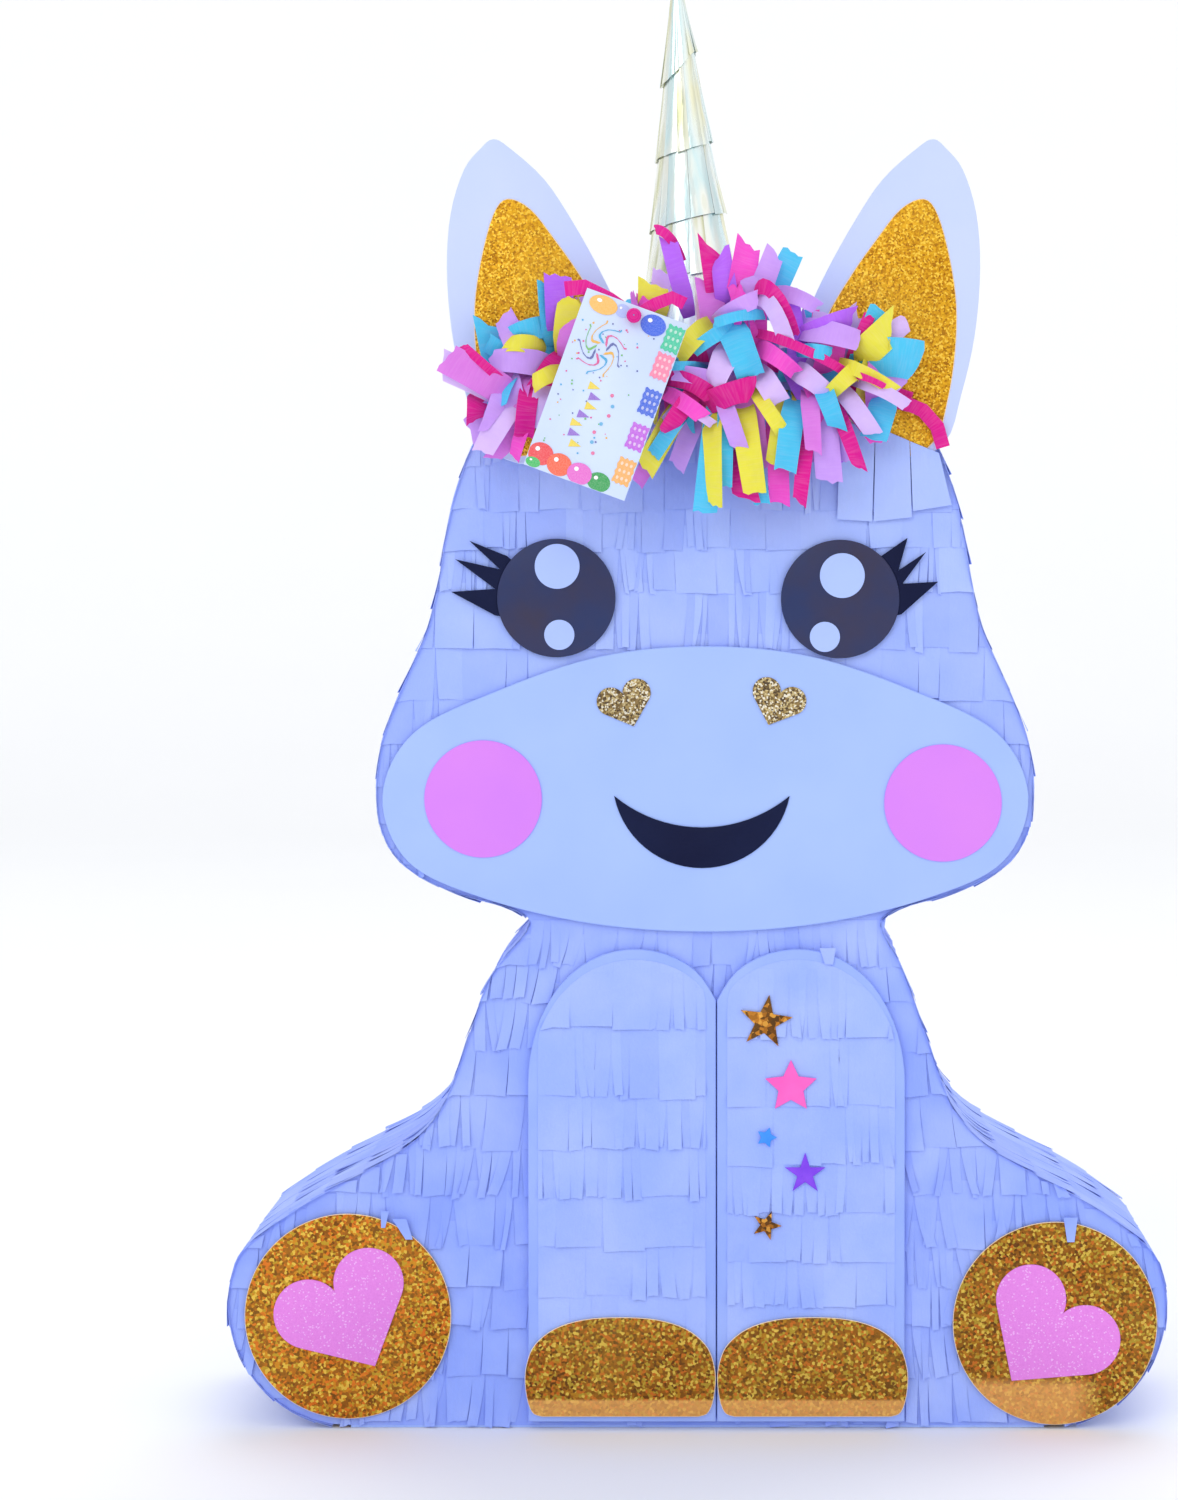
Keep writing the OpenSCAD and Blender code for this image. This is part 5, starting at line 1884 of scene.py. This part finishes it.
# ------------------------ gift tag
@dataclass
class GiftTag:
    """A printed card that swings on the ribbon: balloons, paper squares and confetti.

    The print's places and sizes are in millimetres from the card's lower left corner. The tails of the tie
    are in millimetres from the hole: right, forward and up, and then half their width.
    """

    finishes: Finishes
    lean: float = math.radians(20)
    width: float = 51 * MM
    length: float = 89 * MM
    hole_down: float = 5 * MM
    ink: float = 0.12 * MM
    margin: float = 0.2
    balloons: tuple[tuple[float, float, float, float, Colour], ...] = (
        (6, 7.5, 6.2, 5.4, srgb(238, 66, 74)), (16, 5.6, 6, 5.4, srgb(246, 98, 62)),
        (26.5, 4.8, 6, 5.2, srgb(232, 104, 206)), (36.5, 4.2, 5.6, 4.6, srgb(38, 160, 78)),
        (3.8, 2.6, 3.6, 2.4, srgb(64, 190, 98)), (10, 84, 7, 4.4, srgb(250, 190, 92)),
        (19.6, 84.4, 3.6, 3.2, srgb(176, 192, 250)), (35.5, 83, 6.2, 5.0, srgb(44, 96, 226)),
    )
    squares: tuple[tuple[float, float, Colour], ...] = (
        (46.6, 80, srgb(60, 200, 160)), (46.2, 66, srgb(248, 132, 170)), (46.4, 48, srgb(64, 104, 222)),
        (46.4, 30.5, srgb(196, 96, 226)), (46.2, 13, srgb(246, 178, 98)),
    )
    inks: tuple[Colour, ...] = (
        srgb(90, 100, 170), srgb(226, 84, 150), srgb(64, 170, 220), srgb(240, 180, 60), srgb(120, 190, 110))
    pennants: tuple[Colour, Colour] = (srgb(240, 214, 70), srgb(150, 110, 210))
    dots: tuple[Colour, Colour] = (srgb(234, 110, 160), srgb(96, 178, 224))
    tails: tuple[tuple[tuple[Spot, ...], float], ...] = (
        (((-2, 1, 1), (-12, 2, 8), (-24, 2.2, 14), (-33, 2.6, 13)), 3.6),
        (((2, 1, 1), (10, 2, 6), (18, 2.2, 9), (24, 2.6, 6)), 3.0),
    )
    seed: int = 9

    def build(self) -> None:
        """Builds the card, its print and its tie."""
        self.front_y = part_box("gift_tag")[0].y
        swing = next(j for j in frame["joints"] if j["child"] == Body.TAG.value)
        self.hole = Vector(swing["pos_m"])
        card = softened("gift_tag", "gift_tag_card", 0.12 * MM, self.finishes.tag)
        place(card, Body.TAG, "tag_card", ["gift_tag"])
        self.print_card()
        self.tie()

    def spot(self, u: float, v: float, layer: float) -> tuple[float, float, float]:
        """Finds a point on the card.

        Args:
            u: Its place to the right of the lower left corner.
            v: Its place above that corner.
            layer: How many layers of ink it lies above the card.

        Returns:
            The point.
        """
        x, z = u * MM - self.width / 2, v * MM + self.hole_down - self.length
        turned = Vector((x * math.cos(self.lean) + z * math.sin(self.lean), 0,
                         -x * math.sin(self.lean) + z * math.cos(self.lean)))
        return (self.hole.x + turned.x, self.front_y - layer * self.ink, self.hole.z + turned.z)

    def print_card(self) -> None:
        """Prints the balloons, the squares, the confetti and a burst of streamers."""
        self.sheet = Paper("gift_tag_print", 0.08 * MM)
        for k, (u, v, ru, rv, ink) in enumerate(self.balloons):
            self.disc((u, v), (ru, rv), 1 + 0.6 * (k % 3), ink)
            self.disc((u - ru * 0.35, v + rv * 0.35), (ru * 0.18, rv * 0.2), 3.2, WHITE)
        for u, v, ink in self.squares:
            self.square((u, v), ink)
        chance = random.Random(self.seed)
        for _ in range(60):
            u, v = chance.uniform(2, 40), chance.uniform(12, 78)
            size = chance.uniform(0.28, 0.55)
            self.disc((u, v), (size, size), 1, chance.choice(self.inks), 8)
        for k in range(9):
            self.streamer((16, 64), math.radians(40 * k + 8), self.inks[k % len(self.inks)])
        for k in range(7):
            u, v = 19 + 2.2 * math.sin(1.1 * k), 46 - 4.8 * k
            self.pennant((u, v), self.pennants[k % 2])
            self.disc((u + 9.5, v - 1), (0.9, 0.9), 1.2, self.dots[k % 2], 10)
        place(self.sheet.build(self.finishes.print), Body.TAG, "tag_card")

    def disc(self, at: Spot, radii: Spot, layer: float, ink: Colour, sides: int = 22) -> None:
        """Prints an oval, kept on the card.

        Args:
            at: Its middle.
            radii: Half its width and half its height.
            layer: Its layer of ink.
            ink: Its colour.
            sides: The corners that draw it.
        """
        loop = []
        for k in range(sides):
            a = 2 * math.pi * k / sides
            u = min(max(at[0] + radii[0] * math.cos(a), self.margin), self.width / MM - self.margin)
            v = min(max(at[1] + radii[1] * math.sin(a), self.margin), self.length / MM - self.margin)
            loop.append(self.spot(u, v, layer))
        self.sheet.fan(loop, 0, ink)

    def square(self, at: Spot, ink: Colour) -> None:
        """Prints a cut-paper square with a scalloped edge and small pale holes.

        Args:
            at: Its middle.
            ink: Its colour.
        """
        u, v = at
        half_u, half_v, scallop = 4.2, min(6.4, v - 0.3, self.length / MM - v - 0.3), 0.45
        loop = []
        for k in range(48):
            a = 2 * math.pi * k / 48
            reach = 1 / max(abs(math.cos(a)), abs(math.sin(a)))
            ripple = 1 + scallop / 6 * math.sin(a * 12)
            right = min(u + half_u * reach * math.cos(a) * ripple, self.width / MM - self.margin)
            loop.append(self.spot(right, v + half_v * reach * math.sin(a) * ripple * 0.97, 1))
        self.sheet.fan(loop, 0, ink)
        pale = tuple(0.45 + 0.55 * channel for channel in ink[:3]) + (1.0,)
        for i in (-1, 0, 1):
            for j in (-1, 0, 1):
                self.disc((u + i * 2.3, v + j * half_v * 0.55), (0.7, 0.9), 2.2, pale, 8)

    def pennant(self, at: Spot, ink: Colour) -> None:
        """Prints one pennant of the garland that hangs down the middle."""
        corners = ((-2.6, 2), (-2.6, -2), (3.2, 0))
        self.sheet.fan([self.spot(at[0] + right, at[1] + up, 1.4) for right, up in corners], 0, ink)

    def streamer(self, at: Spot, angle: float, ink: Colour) -> None:
        """Prints one curled streamer of the burst in the middle.

        Args:
            at: The middle of the burst.
            angle: The way it points.
            ink: Its colour.
        """
        rows = []
        for k in range(9):
            t = k / 8
            reach, bend = 2.5 + 9.5 * t, angle + 0.55 * math.sin(5 * t)
            ahead_u, ahead_v = math.cos(bend), math.sin(bend)
            half = 0.65 * (1 - 0.5 * t)
            rows.append([self.spot(at[0] + reach * ahead_u - side * ahead_v,
                                   at[1] + (reach * ahead_v + side * ahead_u) * 1.15, 1.4)
                         for side in (half, -half)])
        self.sheet.grid(rows, 0, ink)

    def tie(self) -> None:
        """The magenta ribbon through the hole: a knot in front and two tails along the card's top."""
        paper = Paper("gift_tag_tie", 0.25 * MM)
        x, _, z = self.hole
        back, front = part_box("tag_tie")[1].y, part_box("tag_tie")[0].y
        for path, half in self.tails:
            line = [Vector((x + right * MM, back - out * MM, z + up * MM)) for right, out, up in path]
            paper.band(line, half * MM, 0.8 * MM, 0.4, Crepe.MAGENTA.value)
        shank, knot, tip = 1.45 * MM, 2.0 * MM, 0.4 * MM
        knot_middle, knot_half = 0.72, 0.26
        rings = []
        for k in range(13):
            t = k / 12
            y_at = back + (front + 0.1 * MM - back) * t
            swell = max(0.0, 1 - ((t - knot_middle) / knot_half) ** 2)
            radius = shank + knot * math.sqrt(swell) if k < 12 else tip
            rings.append([Vector((x + radius * math.cos(a), y_at, z + radius * math.sin(a)))
                          for a in np.linspace(0, 2 * math.pi, 17)])
        paper.grid(rings, 0.4, Crepe.MAGENTA.value)
        place(paper.build(self.finishes.crepe, 60), Body.SHELL, "crepe_magenta", ["tag_tie"])


# ------------------------ carried over
def dress_frame(finishes: Finishes) -> None:
    """Gives the CAD pieces that stay visible their finish.

    Args:
        finishes: The finishes.
    """
    boards = ("front_panel", "back_panel", "base_band", "leg_band_left", "leg_band_right", "head_band_left",
              "head_band_right", "crown_band", "hanger_plate", "fill_flap")
    dressed = {node: finishes.board for node in boards}
    dressed.update({"seam_tape_front": finishes.tape, "seam_tape_back": finishes.tape,
                    "base_paper": finishes.muzzle, "horn_cone": finishes.horn_paper})
    for node, finish in dressed.items():
        mesh = frame["nodes"][node].data
        mesh.materials.clear()
        mesh.materials.append(finish)


# ------------------------ studio
@dataclass
class Studio:
    """A pale floor, soft lights and the camera."""

    eye: Vector = field(default_factory=lambda: Vector((0.010, -1.557, 0.435)))
    aim_low: float = math.radians(2.0)
    lens: float = 73.5
    sensor: float = 36
    clip: tuple[float, float] = (0.05, 50)
    shift: tuple[float, float] = (-0.0912, -0.0634)
    room: float = 0.79
    suns: tuple[tuple[str, tuple[float, float, float], float, float], ...] = (
        ("key", (-1.0, -2.2, 1.5), 40, 0.6), ("fill", (1.6, -1.6, 0.8), 60, 0.25),
        ("rim", (0.3, 1.2, 2.2), 40, 0.9))
    floor_z: float = -1.2 * MM
    floor_half: float = 12.0
    floor_behind: float = 3.0
    floor_bend: float = 1.2
    backdrop_top: float = 5.0

    def build(self) -> None:
        """Sets the stage."""
        self.camera()
        self.floor()
        self.lights()
        bpy.context.scene.view_settings.view_transform = "Standard"

    def camera(self) -> None:
        """The camera, level from side to side and tipped slightly down."""
        data = bpy.data.cameras.new("camera")
        data.lens, data.sensor_width = self.lens, self.sensor
        data.shift_x, data.shift_y = self.shift
        data.clip_start, data.clip_end = self.clip
        camera = bpy.data.objects.new("camera", data)
        camera.location = self.eye
        camera.rotation_euler = (math.pi / 2 - self.aim_low, 0, 0)
        bpy.context.scene.collection.objects.link(camera)
        bpy.context.scene.camera = camera

    def floor(self) -> None:
        """A wide pale floor that curves up into a backdrop far behind."""
        tree = Tree("studio_paper")
        tone = tree.mix(tree.noise(3, 2), (0.93, 0.93, 0.94, 1), (0.95, 0.95, 0.96, 1))
        material = tree.done(tone, 0.9)
        half, behind, bend = self.floor_half, self.floor_behind, self.floor_bend
        paper = Paper("studio_floor", 2 * MM, None)
        profile = [(-half, 0.0), (0.0, 0.0), (behind, 0.0)]
        profile += [(behind + bend * math.sin(a), bend * (1 - math.cos(a)))
                    for a in np.linspace(0.2, math.pi / 2, 8)]
        profile.append((behind + bend, self.backdrop_top))
        paper.grid([[(x, y, z + self.floor_z) for x in (-half, 0.0, half)] for y, z in profile])
        floor = paper.build(material)

    def lights(self) -> None:
        """A white room and broad soft suns: from the upper left, weakly from the right, and from behind."""
        world = bpy.data.worlds.new("room")
        bpy.context.scene.world = world
        world.use_nodes = True
        background = world.node_tree.nodes["Background"]
        background.inputs["Color"].default_value = (0.96, 0.98, 1.0, 1)
        background.inputs["Strength"].default_value = self.room
        for name, spot, softness, power in self.suns:
            data = bpy.data.lights.new(name, "SUN")
            data.angle, data.energy = math.radians(softness), power
            light = bpy.data.objects.new(name, data)
            light.location = spot
            light.rotation_euler = (-Vector(spot)).to_track_quat("-Z", "Y").to_euler()
            bpy.context.scene.collection.objects.link(light)


def main() -> None:
    """Builds the pinata's looks round the frame."""
    logging.basicConfig(level=logging.INFO, format="%(message)s")
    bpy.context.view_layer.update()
    Studio().build()
    finishes = Finishes()
    box = Box()
    dress_frame(finishes)
    FlatFringes(box, finishes).build()
    EdgeFringe(box, finishes).build()
    CardFace(finishes).build()
    Horn(finishes).build()
    Mane(finishes).build()
    GiftTag(finishes).build()


if __name__ == "__main__":
    main()
